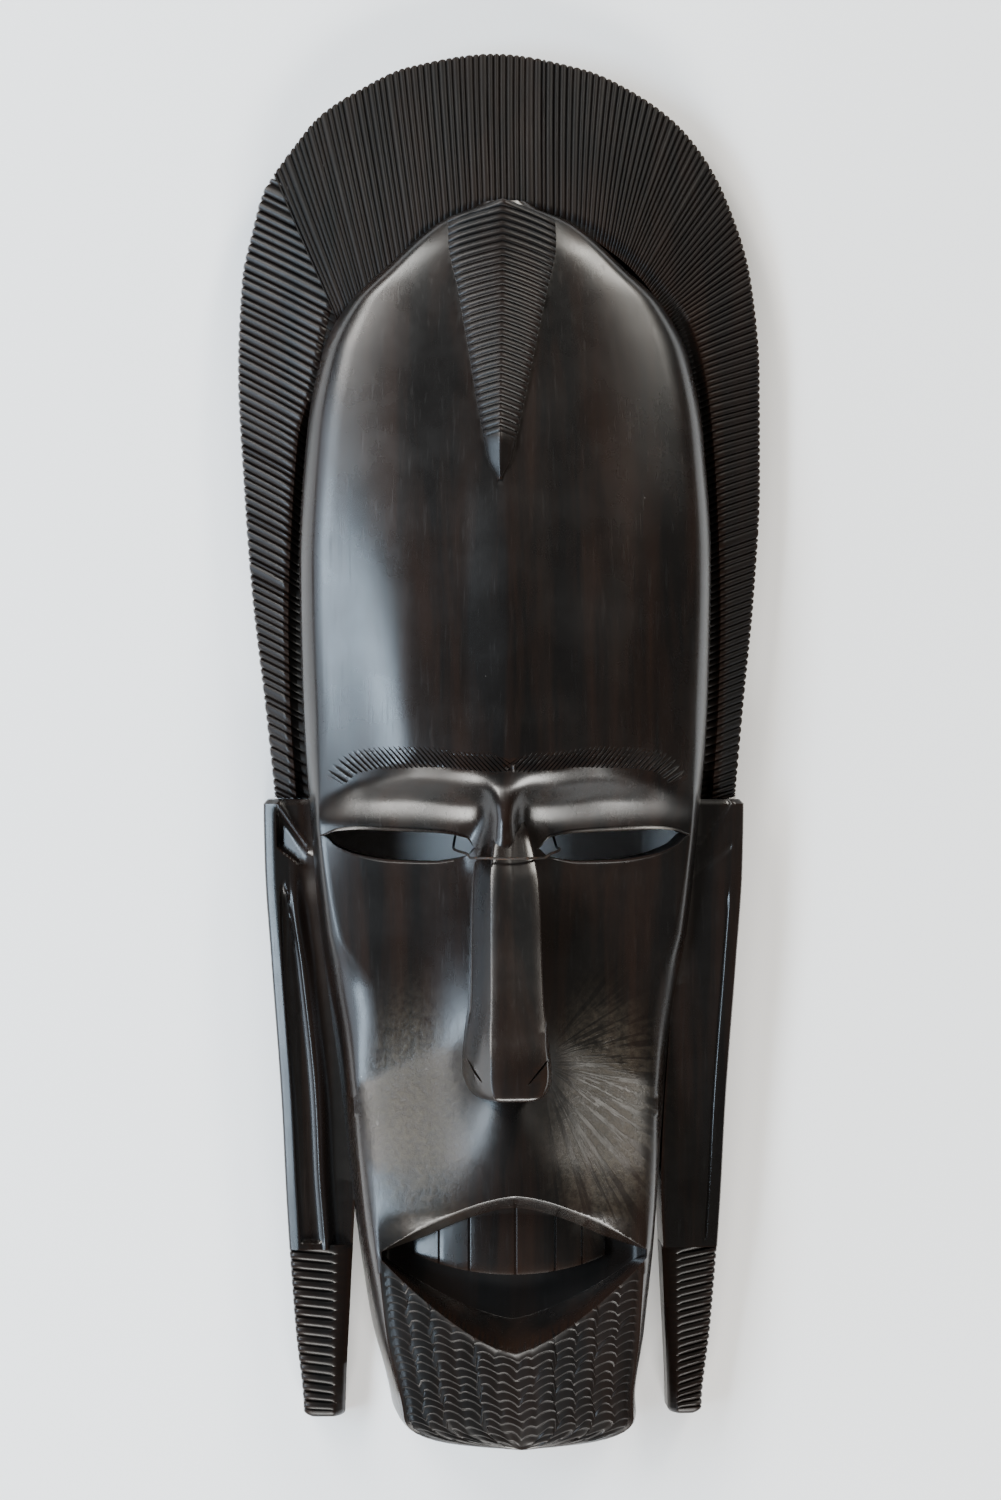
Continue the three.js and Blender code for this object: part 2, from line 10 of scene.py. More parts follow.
import bpy
import numpy as np
from mathutils import Matrix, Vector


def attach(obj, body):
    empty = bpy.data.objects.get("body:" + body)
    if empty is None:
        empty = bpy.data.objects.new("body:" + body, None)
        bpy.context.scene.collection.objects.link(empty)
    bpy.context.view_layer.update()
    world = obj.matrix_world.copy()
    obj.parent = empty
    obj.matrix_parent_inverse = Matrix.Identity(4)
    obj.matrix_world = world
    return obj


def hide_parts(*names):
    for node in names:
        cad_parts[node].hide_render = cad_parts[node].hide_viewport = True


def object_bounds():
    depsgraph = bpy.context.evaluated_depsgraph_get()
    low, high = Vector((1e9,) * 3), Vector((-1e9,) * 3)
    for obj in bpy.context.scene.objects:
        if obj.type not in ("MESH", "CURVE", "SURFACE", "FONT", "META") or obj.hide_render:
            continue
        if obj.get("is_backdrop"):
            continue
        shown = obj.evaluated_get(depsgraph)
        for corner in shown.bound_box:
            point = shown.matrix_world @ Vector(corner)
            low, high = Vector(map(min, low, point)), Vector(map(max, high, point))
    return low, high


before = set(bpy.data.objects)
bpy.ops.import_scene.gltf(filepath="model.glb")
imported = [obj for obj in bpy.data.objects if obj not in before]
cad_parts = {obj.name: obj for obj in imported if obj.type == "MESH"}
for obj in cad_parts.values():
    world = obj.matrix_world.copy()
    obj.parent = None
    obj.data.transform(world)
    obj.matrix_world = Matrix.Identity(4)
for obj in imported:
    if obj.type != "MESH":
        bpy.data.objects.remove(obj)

CAD_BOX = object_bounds()

# %% [markdown]
# The carving is measured in millimetres from its own middle line: x to the viewer's right, y to the
# crown, z out of the face. The crown leans a little left and the chin a little right, so that line
# stands beside the middle of the box. All shapes are computed there and moved into the frame at the end.

# %% Carver's frame
CROWN_Y = 250.0
CHIN_Y = -246.0
LEAN_OF_BOX = 1.04
SHIFT = np.array([LEAN_OF_BOX, -(CROWN_Y + CHIN_Y) / 2, 0.0])
BELOW, ABOVE = -8.0, 120.0
SIDES = -1, 1
random = np.random.default_rng(17)
print("carver's frame is moved by", SHIFT, "mm")

# %% [markdown]
# The view is from straight above, with the mask lying on its back, and a touch from the left, because
# the photograph shows a little more of the left side of the nose. A long lens keeps the outline true:
# 1.3 metres away, half a metre of floor fills the height of the picture.

# %% Camera
VIEW_TURN = math.radians(3.0)
VIEW_DISTANCE = 1.3
VIEW_TARGET = np.array([0.0, -0.0024, 0.015])
PICTURE_ROWS, METRES_A_ROW = 1500, 0.0003587
SENSOR = 36.0

camera_data = bpy.data.cameras.new("camera")
camera_data.sensor_width = SENSOR
camera_data.lens = SENSOR * VIEW_DISTANCE / (PICTURE_ROWS * METRES_A_ROW)
camera = bpy.data.objects.new("camera", camera_data)
bpy.context.scene.collection.objects.link(camera)
toward = np.array([-math.sin(VIEW_TURN), 0.0, math.cos(VIEW_TURN)])
camera.location = VIEW_TARGET + VIEW_DISTANCE * toward
camera.rotation_euler = (0.0, -VIEW_TURN, 0.0)
bpy.context.scene.camera = camera
print("lens", round(camera_data.lens, 2), "mm")

# %% [markdown]
# Nearly every line of the carving is a smooth curve through a few measured places. A cubic between each
# two places, with its slopes taken from the rises on both sides, bends softly and never overshoots, so a
# crest stays a crest. The same rule serves along the mask and, row by row, across it.

# %% Curves along the mask
def between(t, span, start, end, slope_start, slope_end):
    """Cubic from start to end over a span: the two values and the two slopes each get their own blend of
    t, which runs from 0 to 1."""
    near = (1 + 2 * t) * (1 - t) ** 2 * start + t * (1 - t) ** 2 * span * slope_start
    return near + t * t * (3 - 2 * t) * end + t * t * (t - 1) * span * slope_end


def shared_slope(before, after):
    """Slope at an inner place: the harmonic mean of the rises beside it, level where they turn."""
    total = np.where(before * after > 0, before + after, 1.0)
    return np.where(before * after > 0, 2 * before * after / total, 0.0)


def along(knots):
    """A function through (position, value) pairs, level at both ends and held constant beyond them."""
    at, value = np.array(sorted(knots), float).T
    rise = np.diff(value) / np.diff(at)
    slope = np.concatenate([[0.0], shared_slope(rise[:-1], rise[1:]), [0.0]])

    def curve(position):
        p = np.clip(position, at[0], at[-1])
        i = np.clip(np.searchsorted(at, p, side="right") - 1, 0, len(at) - 2)
        span = at[i + 1] - at[i]
        return between((p - at[i]) / span, span, value[i], value[i + 1], slope[i], slope[i + 1])

    return curve


print("a curve through three places gives", np.round(along([(0, 0), (1, 4), (2, 5)])([0.5, 1.5]), 2))

# %% Curves across the rows
END_FALL = 1.4


def across(share, at, value):
    """The same curve for whole arrays, where the places and values themselves change from row to row. It is
    level at its first place and falls on past the last, like a dome's edge."""
    rise = [(value[i + 1] - value[i]) / (at[i + 1] - at[i]) for i in range(len(at) - 1)]
    inner = [shared_slope(before, after) for before, after in zip(rise[:-1], rise[1:])]
    slope = [np.zeros_like(share), *inner, END_FALL * rise[-1] + np.zeros_like(share)]
    height = value[-1] + np.zeros_like(share)
    for i in reversed(range(len(at) - 1)):
        span = at[i + 1] - at[i]
        t = np.clip((share - at[i]) / span, 0, 1)
        piece = between(t, span, value[i], value[i + 1], slope[i], slope[i + 1])
        height = np.where(share < at[i + 1], piece, height)
    return height


def smooth(t):
    """Soft step from 0 to 1: three t squared less two t cubed."""
    t = np.clip(t, 0, 1)
    return t * t * (3 - 2 * t)


print("a quarter of the way, the soft step is at", smooth(0.25))

# %% [markdown]
# Each form is a closed solid: rings of equal length, one after another, with a small fan over each end.
# The rings are one array of (ring, point, xyz), so a whole ear or beard is computed at once. The solids
# are then joined and cut like the real block, where every form was cut out of the same wood.

# %% Rows and rings of points
def xyz(x, y, z):
    """Three coordinates, spread to one shape, as an array of points."""
    return np.stack(np.broadcast_arrays(x, y, z), -1)


def side_by_side(*parts):
    """Rows of points from parts that lie beside each other in a row, each given as its x, y and z."""
    return np.concatenate([xyz(*part) for part in parts], axis=1)


def stroke_places(count, phase):
    """Places of count equal strokes, each with the same few phases inside it."""
    return (np.arange(count)[:, None] + phase).ravel()


def valley(phase, power):
    """One stroke's cut: 1 where phase is whole, none in its middle, as one less a power of a sine."""
    return 1 - np.sin(math.pi * phase) ** power


print("cut of one stroke:", np.round(valley(np.array([0.0, 0.1, 0.2, 0.35, 0.5]), 0.55), 2))

# %% Solids from rings
POLISHED, COMBED, DULL, RAW = 0, 1, 2, 3
FINISHES = []


def ring_faces(rings, points):
    """Quads between neighbouring rings, and triangles from a hub in the middle of each end ring."""
    i, j = np.meshgrid(np.arange(rings - 1), np.arange(points), indexing="ij")
    k = (j + 1) % points
    quads = np.stack([i * points + j, i * points + k, (i + 1) * points + k, (i + 1) * points + j], -1)
    j = np.arange(points)
    k = (j + 1) % points
    hub, last = rings * points, (rings - 1) * points
    start = np.stack([np.full(points, hub), k, j], -1)
    end = np.stack([np.full(points, hub + 1), last + j, last + k], -1)
    return quads.reshape(-1, 4), np.concatenate([start, end])


def volume_of(points, quads, triangles):
    """Signed volume: a sixth of the triple product of every triangle's corners, summed."""
    split = np.concatenate([quads[:, [0, 1, 2]], quads[:, [0, 2, 3]], triangles])
    a, b, c = points[split[:, 0]], points[split[:, 1]], points[split[:, 2]]
    return np.einsum("ij,ij->", a, np.cross(b, c)) / 6


def solid(name, rings, finish=POLISHED):
    """A mesh object, in metres and in the frame, from an array of rings in the carver's millimetres."""
    rings = np.asarray(rings, float)
    hubs = [rings[0].mean(axis=0), rings[-1].mean(axis=0)]
    points = np.concatenate([rings.reshape(-1, 3), hubs])
    quads, triangles = ring_faces(rings.shape[0], rings.shape[1])
    if volume_of(points, quads, triangles) < 0:
        quads, triangles = quads[:, ::-1], triangles[:, ::-1]
    mesh = bpy.data.meshes.new(name)
    mesh.vertices.add(len(points))
    mesh.vertices.foreach_set("co", ((points + SHIFT) / 1000).ravel())
    mesh.loops.add(quads.size + triangles.size)
    mesh.loops.foreach_set("vertex_index", np.concatenate([quads.ravel(), triangles.ravel()]))
    mesh.polygons.add(len(quads) + len(triangles))
    starts = np.concatenate([np.arange(len(quads)) * 4, quads.size + np.arange(len(triangles)) * 3])
    mesh.polygons.foreach_set("loop_start", starts)
    mesh.polygons.foreach_set("material_index", np.full(len(mesh.polygons), finish))
    mesh.update(calc_edges=True)
    mesh.validate()
    for material in FINISHES:
        mesh.materials.append(material)
    piece = bpy.data.objects.new(name, mesh)
    bpy.context.scene.collection.objects.link(piece)
    print(f"{name}: {rings.shape[0]} rings of {rings.shape[1]} points")
    return piece

# %% Joining and cutting
def carve(block, tool, operation):
    """Joins a form to the block, or cuts it out, and throws the tool away."""
    step = block.modifiers.new(operation.lower(), "BOOLEAN")
    step.operation = operation
    step.solver = "MANIFOLD"
    step.object = tool
    bpy.context.view_layer.update()
    evaluated = block.evaluated_get(bpy.context.evaluated_depsgraph_get())
    result = bpy.data.meshes.new_from_object(evaluated)
    block.modifiers.clear()
    spent = block.data
    block.data = result
    bpy.data.meshes.remove(spent)
    bpy.data.meshes.remove(tool.data)


def slab(name, low, high):
    """A plain box between two corners, used as a cutter."""
    corners = np.array([[low[0], low[1]], [high[0], low[1]], [high[0], high[1]], [low[0], high[1]]])
    return solid(name, [[[x, y, z] for x, y in corners] for z in (low[2], high[2])], RAW)

# %% [markdown]
# Finishes first, because every form carries one. The wood is nearly black, with brown along its pores
# and grain, rubbed to a soft gloss on the smooth planes and left duller where the gouge cut. Four
# versions of one recipe keep that difference: polished, gouged, dull where the hair is combed, and raw
# inside the hollow. What they share is built once as node groups that put out plain masks.

# %% Node helpers
def join(tree, value, socket):
    """Feeds a socket from another node's output, or sets it to a plain value."""
    if isinstance(value, bpy.types.NodeSocket):
        tree.links.new(value, socket)
    else:
        socket.default_value = value


def node(tree, kind, **settings):
    """A node of a kind with its settings; what is no setting of the node is one of its sockets."""
    made = tree.nodes.new("ShaderNode" + kind)
    for key, value in settings.items():
        if hasattr(made, key):
            setattr(made, key, value)
        else:
            join(tree, value, made.inputs[key.replace("_", " ")])
    return made


def math_node(tree, operation, *values):
    """Arithmetic on two or three values, each a number or another node's output."""
    made = node(tree, "Math", operation=operation)
    for value, socket in zip(values, made.inputs):
        join(tree, value, socket)
    return made.outputs[0]


def weighted(tree, start, *terms, clamp=False):
    """Start plus each value times its weight; the clamp to 0 to 1 comes last."""
    for value, weight in terms:
        start = math_node(tree, "MULTIPLY_ADD", value, weight, start)
    start.node.use_clamp = clamp
    return start


def ramp(tree, value, low, high):
    """Maps a range on to 0 to 1, clamped."""
    return node(tree, "MapRange", clamp=True, Value=value, From_Min=low, From_Max=high).outputs["Result"]


def noise(tree, place, scale, detail=3.0, roughness=0.55, distortion=0.0):
    """Plain noise at a scale per metre."""
    made = node(tree, "TexNoise", Vector=place, Scale=scale, Detail=detail, Roughness=roughness,
                Distortion=distortion)
    return made.outputs["Fac"]


def mix_colour(tree, factor, first, second):
    """Blend of two colours, each a value or another node's output."""
    made = node(tree, "Mix", data_type="RGBA")
    ends = [socket for socket in made.inputs if socket.type == "RGBA"]
    for value, socket in zip((factor, first, second), (made.inputs[0], *ends)):
        join(tree, value, socket)
    return next(socket for socket in made.outputs if socket.type == "RGBA")

# %% Groups of nodes
def group(name, build, masks, **values):
    """A shader node group that takes a vector and named values and puts out named masks."""
    tree = bpy.data.node_groups.new(name, "ShaderNodeTree")
    tree.interface.new_socket("Vector", in_out="INPUT", socket_type="NodeSocketVector")
    for key, value in values.items():
        label = key.replace("_", " ")
        made = tree.interface.new_socket(label, in_out="INPUT", socket_type="NodeSocketFloat")
        made.default_value = value
    for label in masks:
        tree.interface.new_socket(label, in_out="OUTPUT", socket_type="NodeSocketFloat")
    given = tree.nodes.new("NodeGroupInput").outputs
    out = tree.nodes.new("NodeGroupOutput").inputs
    for mask, socket in zip(build(tree, given), out):
        tree.links.new(mask, socket)
    print(f"{name}: {len(tree.nodes)} nodes give {masks}")
    return tree

# %% [markdown]
# Grain: the block was cut with its grain along the mask, so pores and streaks are long in y and narrow
# in x and z. Stretching the coordinates before the noise draws them out. Streaks are broad bands of
# browner wood, pores are short dark dashes half a millimetre long or more.

# %% Wood grain group
def grain_masks(tree, given):
    """Two noises on coordinates that are drawn out along y and turned a little."""
    drawn = node(tree, "Mapping", Vector=given["Vector"], Scale=(1.0, 0.06, 0.8), Rotation=(0.0, 0.0, 0.03))
    streak = noise(tree, drawn.outputs["Vector"], given["Streak Scale"], 4.0, 0.6, 0.4)
    pore = noise(tree, drawn.outputs["Vector"], given["Pore Scale"], 2.0, 0.5)
    return ramp(tree, streak, 0.42, 0.66), ramp(tree, pore, 0.60, 0.72)


GRAIN = group("wood grain", grain_masks, ["Streaks", "Pores"], Streak_Scale=90.0, Pore_Scale=900.0)

# %% [markdown]
# Rubbing: hands and polish leave cloudy patches, some glossier and some duller, and here and there a
# speck of dust. Fine scratches run mostly along the wood. All are weak, yet without them a dark gloss
# looks like plastic.

# %% Rubbed surface group
def rubbed_masks(tree, given):
    """Clouds are coarse noise, scratches are noise drawn out along y, dust is small cells in patches."""
    place = given["Vector"]
    turned = node(tree, "Mapping", Vector=place, Scale=(1.0, 0.035, 1.0), Rotation=(0.0, 0.0, 0.35))
    cloud = noise(tree, place, given["Cloud Scale"], 5.0, 0.62)
    scratch = noise(tree, turned.outputs["Vector"], given["Scratch Scale"], 2.0, 0.5)
    speck = node(tree, "TexVoronoi", Vector=place, Scale=210.0, Randomness=1.0)
    near = ramp(tree, speck.outputs["Distance"], 0.070, 0.04)
    patch = ramp(tree, noise(tree, place, 75.0), 0.66, 0.70)
    dust = math_node(tree, "MULTIPLY", near, patch)
    return ramp(tree, cloud, 0.34, 0.68), ramp(tree, scratch, 0.62, 0.74), dust


RUBBED = group("rubbed surface", rubbed_masks, ["Clouds", "Scratches", "Dust"], Cloud_Scale=26.0,
               Scratch_Scale=520.0)

# %% [markdown]
# Wear, wax and painted highlight: edges are touched by every hand and turn browner, which also paints a
# highlight along them, and old wax stays in the cuts. A mask stored on the mesh, high on convex edges and
# low in the bottom of the cuts, tells the two apart. A second one marks the lower cheeks with a pale
# mottled film, scraped in a fan beside the nose: partly polish that dried there, partly a painted
# highlight of the light the cheeks catch.

# %% Wear, wax and painted highlight group
FAN_CENTRE = (0.012, -0.112, 0.0)


def wear_wax_and_highlight_masks(tree, given):
    """Fan of scrapes: noise over the angle round its centre and the way across, and nothing left of the
    centre. The film, dried polish and painted highlight in one, is the cheek mask times a fine mottle, less
    the scrapes. The edge mask browns convex edges as wear and as a painted highlight."""
    from_centre = node(tree, "VectorMath", operation="SUBTRACT")
    for value, socket in zip((given["Vector"], FAN_CENTRE), from_centre.inputs):
        join(tree, value, socket)
    x, y, _ = node(tree, "SeparateXYZ", Vector=from_centre.outputs[0]).outputs
    angle = math_node(tree, "MULTIPLY", math_node(tree, "ARCTAN2", y, x), 9.0)
    polar = node(tree, "CombineXYZ", X=angle, Y=math_node(tree, "MULTIPLY", x, 25.0)).outputs[0]
    marks = math_node(tree, "MULTIPLY", ramp(tree, noise(tree, polar, 1.6, 3.0, 0.6), 0.48, 0.56), 0.75)
    fan = math_node(tree, "MULTIPLY", marks, ramp(tree, x, 0.0, 0.004))
    mottle = ramp(tree, noise(tree, given["Vector"], 420.0, 6.0, 0.7), 0.36, 0.66)
    # Pale film on the lower cheeks: partly dried polish, partly a painted highlight.
    film_and_highlight = math_node(tree, "MULTIPLY", given["Dry"], math_node(tree, "ADD", mottle, 0.25))
    film_and_highlight = math_node(tree, "MULTIPLY", film_and_highlight, math_node(tree, "SUBTRACT", 1.0, fan))
    # Edge mask: convex edges browned, as wear and as a painted highlight along them. Cut mask: wax in the
    # bottoms of cuts.
    return ramp(tree, given["Wear"], 0.56, 0.85), ramp(tree, given["Wear"], 0.46, 0.22), film_and_highlight


# Masks of browned edges (wear and painted highlight), wax in cuts, and the cheek film (dried polish and
# painted highlight).
WEAR_WAX_AND_HIGHLIGHT = group("wear and film", wear_wax_and_highlight_masks, ["Edge", "Cut", "Film and highlight"], Wear=0.5, Dry=0.0)

# %% [markdown]
# Ebony: the three groups feed colour, roughness and a shallow bump of one material, made four times with
# other values. Edges come out browner and glossier, as wear and as a painted highlight, cuts waxy, and
# the cheek film pale and dry, where it is partly dried polish and partly a painted highlight.

# %% Colours and shader
BLACK = (0.0036, 0.0031, 0.0029, 1.0)
# Brown of the streaks, and of the convex edges, where it is wear and a painted highlight.
BROWN = (0.016, 0.0080, 0.0052, 1.0)
WAX = (0.016, 0.014, 0.012, 1.0)
DUST = (0.14, 0.13, 0.12, 1.0)
# Pale film colour of the lower cheeks: partly dried polish, partly a painted highlight.
FILM_AND_HIGHLIGHT = (0.085, 0.068, 0.046, 1.0)
print("the wood reflects", BLACK[0], "of red light, its streaks", BROWN[0], "and the film", FILM_AND_HIGHLIGHT[0])


def principled(name, **values):
    """A new material with plain values on its shader, given with its tree and the shader's sockets."""
    material = bpy.data.materials.new(name)
    material.use_nodes = True
    sockets = material.node_tree.nodes["Principled BSDF"].inputs
    for label, value in values.items():
        sockets[label.replace("_", " ")].default_value = value
    return material, material.node_tree, sockets


def surface(tree, shader, colour, gloss, height, strength, distance):
    """Feeds the shader its colour, its roughness and, through a bump, its normal."""
    bump = node(tree, "Bump", Strength=strength, Distance=distance, Height=height)
    tree.links.new(colour, shader["Base Color"])
    tree.links.new(gloss, shader["Roughness"])
    tree.links.new(bump.outputs["Normal"], shader["Normal"])

# %% Ebony
def ebony(name, roughness, index, wax, relief, brown):
    """One finish of the black wood: its gloss, how strongly it mirrors, how much wax lies in the cuts, how
    deep the grain is and how brown its streaks are."""
    material, tree, shader = principled(name, IOR=index)
    place = node(tree, "TexCoord").outputs["Object"]
    convexity, dry_and_highlight = (node(tree, "Attribute", attribute_name=layer).outputs["Fac"] for layer in ("convexity", "dry_and_highlight"))
    grain = node(tree, "Group", node_tree=GRAIN, Vector=place).outputs
    rubbed = node(tree, "Group", node_tree=RUBBED, Vector=place).outputs
    wear_wax_and_highlight = node(tree, "Group", node_tree=WEAR_WAX_AND_HIGHLIGHT, Vector=place, Wear=convexity, Dry=dry_and_highlight).outputs
    edge, film_and_highlight = wear_wax_and_highlight["Edge"], wear_wax_and_highlight["Film and highlight"]
    waxed = math_node(tree, "MULTIPLY", wear_wax_and_highlight["Cut"], wax)
    colour = mix_colour(tree, math_node(tree, "MULTIPLY", grain["Streaks"], brown), BLACK, BROWN)
    # Convex edges mixed toward brown: wear, and a painted highlight along the edges.
    colour = mix_colour(tree, math_node(tree, "MULTIPLY", edge, 0.55), colour, BROWN)
    colour = mix_colour(tree, waxed, colour, WAX)
    colour = mix_colour(tree, rubbed["Dust"], colour, DUST)
    # Lower cheeks mixed toward the pale film: dried polish and a painted highlight.
    colour = mix_colour(tree, math_node(tree, "MULTIPLY", film_and_highlight, 0.5), colour, FILM_AND_HIGHLIGHT)
    gloss = weighted(tree, roughness, (rubbed["Clouds"], 0.10), (grain["Pores"], 0.05), (waxed, 0.30),
                     (film_and_highlight, 0.14), (dry_and_highlight, 0.08), (edge, -0.06), clamp=True)
    height = weighted(tree, 0.0, (grain["Pores"], -0.10), (rubbed["Scratches"], -0.3),
                      (noise(tree, place, 90.0), 2.0), (film_and_highlight, 6.0))
    surface(tree, shader, colour, gloss, height, 1.0, relief)
    return material


FINISHES += [
    ebony("polished ebony", 0.235, 1.50, 0.20, 0.00002, 0.55),
    ebony("gouged ebony", 0.34, 1.34, 0.20, 0.00004, 0.30),
    ebony("dull combed ebony", 0.42, 1.24, 0.15, 0.00004, 0.30),
    ebony("raw hollow ebony", 0.60, 1.40, 0.50, 0.00030, 0.80),
]
print("finishes:", [material.name for material in FINISHES])

# %% [markdown]
# The face: one long convex form. Five lines run down it, along the middle, at mid cheek, on the cheek's
# crest, over its shoulder and at the side wall. The height anywhere is the smooth curve across them.
# Points sit at fixed shares of the half width, so the crest is always a row of points and a clean edge.

# %% Lines of the face
CHIN_ROUND = 12.0
MID_SHARE = 0.45
face_line = along([
    (194, 8), (187, 24), (170, 44), (158, 56), (140, 65), (110, 70.5), (65, 73), (20, 72), (-20, 69.5),
    (-65, 65.5), (-100, 61), (-155, 55), (-205, 49), (-234, 44),
])
jaw_lean = along([(-120, 0), (-195, 1.5), (-225, 3), (-246, 5)])
centre_line = along([
    (194, 34), (175, 39.5), (160, 42.3), (120, 48), (70, 53), (20, 56.5), (-6, 59), (-8, 58.2), (-11, 56.2),
    (-20, 48), (-30, 43.5), (-60, 39), (-90, 41), (-110, 50.5), (-122, 55), (-140, 58), (-155, 59),
    (-165, 57), (-210, 50), (-235, 46.3), (-246, 44),
])
mid_line = along([
    (194, 33), (175, 38.3), (160, 40.8), (120, 45.6), (70, 50.5), (20, 54), (-6, 55.5), (-8, 54.6),
    (-11, 52.8), (-20, 44), (-28, 40.2), (-38, 38.5), (-60, 35.5), (-88, 34.2), (-97, 34.6), (-106, 37.8),
    (-114, 41.4), (-122, 44.8), (-135, 49.8), (-150, 54.6), (-160, 56.0), (-170, 53), (-210, 49),
    (-235, 45.2), (-246, 43),
])
crest_line = along([
    (194, 31), (175, 35.2), (160, 37.0), (120, 40.2), (70, 42.5), (20, 42), (-10, 38), (-18, 36), (-28, 33),
    (-45, 33), (-88, 32.6), (-99, 33), (-108, 35.4), (-122, 40), (-136, 44.4), (-150, 48.6), (-162, 50.5),
    (-175, 50), (-210, 46), (-235, 42.5), (-246, 40.5),
])
edge_line = along([
    (194, 27), (120, 30), (70, 32), (0, 31), (-28, 27), (-60, 24), (-100, 19), (-150, 12), (-246, 5),
])
crest_share = along([
    (194, 0.84), (20, 0.86), (-25, 0.95), (-65, 0.90), (-86, 0.75), (-98, 0.75), (-123, 0.81), (-150, 0.85),
    (-180, 0.89), (-246, 0.92),
])
shoulder_drop = along([
    (60, 0.30), (-65, 0.30), (-89, 0.32), (-110, 0.20), (-123, 0.14), (-160, 0.13), (-200, 0.30),
    (-246, 0.40),
])
shoulder_way = along([(60, 0.60), (-30, 0.50), (-65, 0.60), (-246, 0.60)])
print("half width in mm at brows, cheeks and jaw:", np.round(face_line([-20, -100, -205]), 1))

# %% Lines of lips, brows and cheeks
MOUTH_AXIS, MOUTH_HALF = 2.0, 47.0
LIP_TOP_Y, LIP_CORNER_Y, LOWER_LIP_Y = -155.5, -175.5, -211.0
LIP_FOLD = 0.7
keel_line = along([(112, 0), (80, 1.3), (10, 1.3), (-6, 0)])
KEEL_WIDTH, FROWN_X = 15.0, -1.6
frown_rise = along([
    (-7, 0), (-10, 0.9), (-14, 3.0), (-20, 6.6), (-28, 9.0), (-34, 10.8), (-42, 7.0), (-50, 0),
])
frown_half = along([(-8, 7.0), (-16, 5.8), (-24, 5.2), (-30, 6.2), (-36, 7.6), (-45, 8.5)])
brow_bow = along([(0, 0), (8, -1.4), (34, 1.0), (50, -0.6), (62, -4.5), (70, -6)])
brow_window = along([(60, 0), (2, 1), (-12, 1), (-27, 0)])
cheek_bow = along([(0, 1), (10, 3), (20, 7), (28, 8.5), (36, 11), (46, 16), (56, 20)])
cheek_window = along([(-75, 0), (-110, 1), (-150, 0)])
print("the ridge between the brows rises", frown_rise(-34), "mm")

# %% Height of the face
def face_half(y):
    """Half width: the face line, closed round the chin by a steep power of the way into it."""
    into = np.clip((CHIN_Y + CHIN_ROUND - y) / CHIN_ROUND, 0, None)
    return face_line(y) * np.clip(1 - into ** 2.6, 0.02, 1) ** 0.45


def lip_y(x):
    """Edge of the upper lip: from its top down to the corners with a power of the way across."""
    return LIP_TOP_Y + (LIP_CORNER_Y - LIP_TOP_Y) * (np.abs(x - MOUTH_AXIS) / MOUTH_HALF) ** 1.55


def lower_lip_y(x):
    """Edge of the lower lip: almost a V with a rounded point."""
    return LOWER_LIP_Y + (LIP_CORNER_Y - 2 - LOWER_LIP_Y) * (np.abs(x - MOUTH_AXIS) / MOUTH_HALF) ** 1.45


def face_height(x, y):
    """Height of the bare face: the curve across the five lines, read a little higher or lower where brows
    and cheeks bow, plus a straight-sided keel down the forehead, a flat-topped ridge between the brows
    that leads into the nose, and a thin fold along the lower lip."""
    x, y = np.broadcast_arrays(np.asarray(x, float), np.asarray(y, float))
    share = np.clip(np.abs(x) / face_half(y), 0, 1)
    bowed = y - brow_bow(np.abs(x)) * brow_window(y) + cheek_bow(np.abs(x)) * cheek_window(y)
    crest, edge = crest_line(bowed), edge_line(y)
    shoulder = crest - shoulder_drop(y) * (crest - edge)
    shoulder_at = crest_share(y) + shoulder_way(y) * (1 - crest_share(y))
    middle, side = np.zeros_like(share), np.ones_like(share)
    at = [middle, np.full_like(share, MID_SHARE), crest_share(y), shoulder_at, side]
    lines = [centre_line(bowed), mid_line(bowed), crest, shoulder, edge]
    keel = keel_line(y) * np.clip(1 - np.abs(x) / KEEL_WIDTH, 0, 1)
    frown = frown_rise(y) * np.exp(-np.abs((x - FROWN_X) / frown_half(y)) ** 2.5)
    lip_x = x + jaw_lean(y)
    inside = smooth((1.12 - np.abs(lip_x - MOUTH_AXIS) / MOUTH_HALF) / 0.3)
    fold = LIP_FOLD * np.exp(-((y - lower_lip_y(lip_x)) / 1.5) ** 2) * inside
    return across(share, at, lines) + keel + frown + fold


print("height of the forehead's middle:", round(float(face_height(0, 100)), 1), "mm")


def leaning(points):
    """Moves points sideways with the jaw."""
    points[..., 0] += jaw_lean(points[..., 1])
    return points


def footed(x, y, z, depth):
    """Rows of points on the face, closed below by a point this deep under each end of a row."""
    ends = [(x[:, [i]], y[:, [i]], face_height(x[:, [i]], y[:, [i]]) - depth) for i in (-1, 0)]
    return side_by_side((x, y, z), *ends)

# %% The face as a block
CORE_COLUMNS = 42
EDGE_ROUND = 0.9


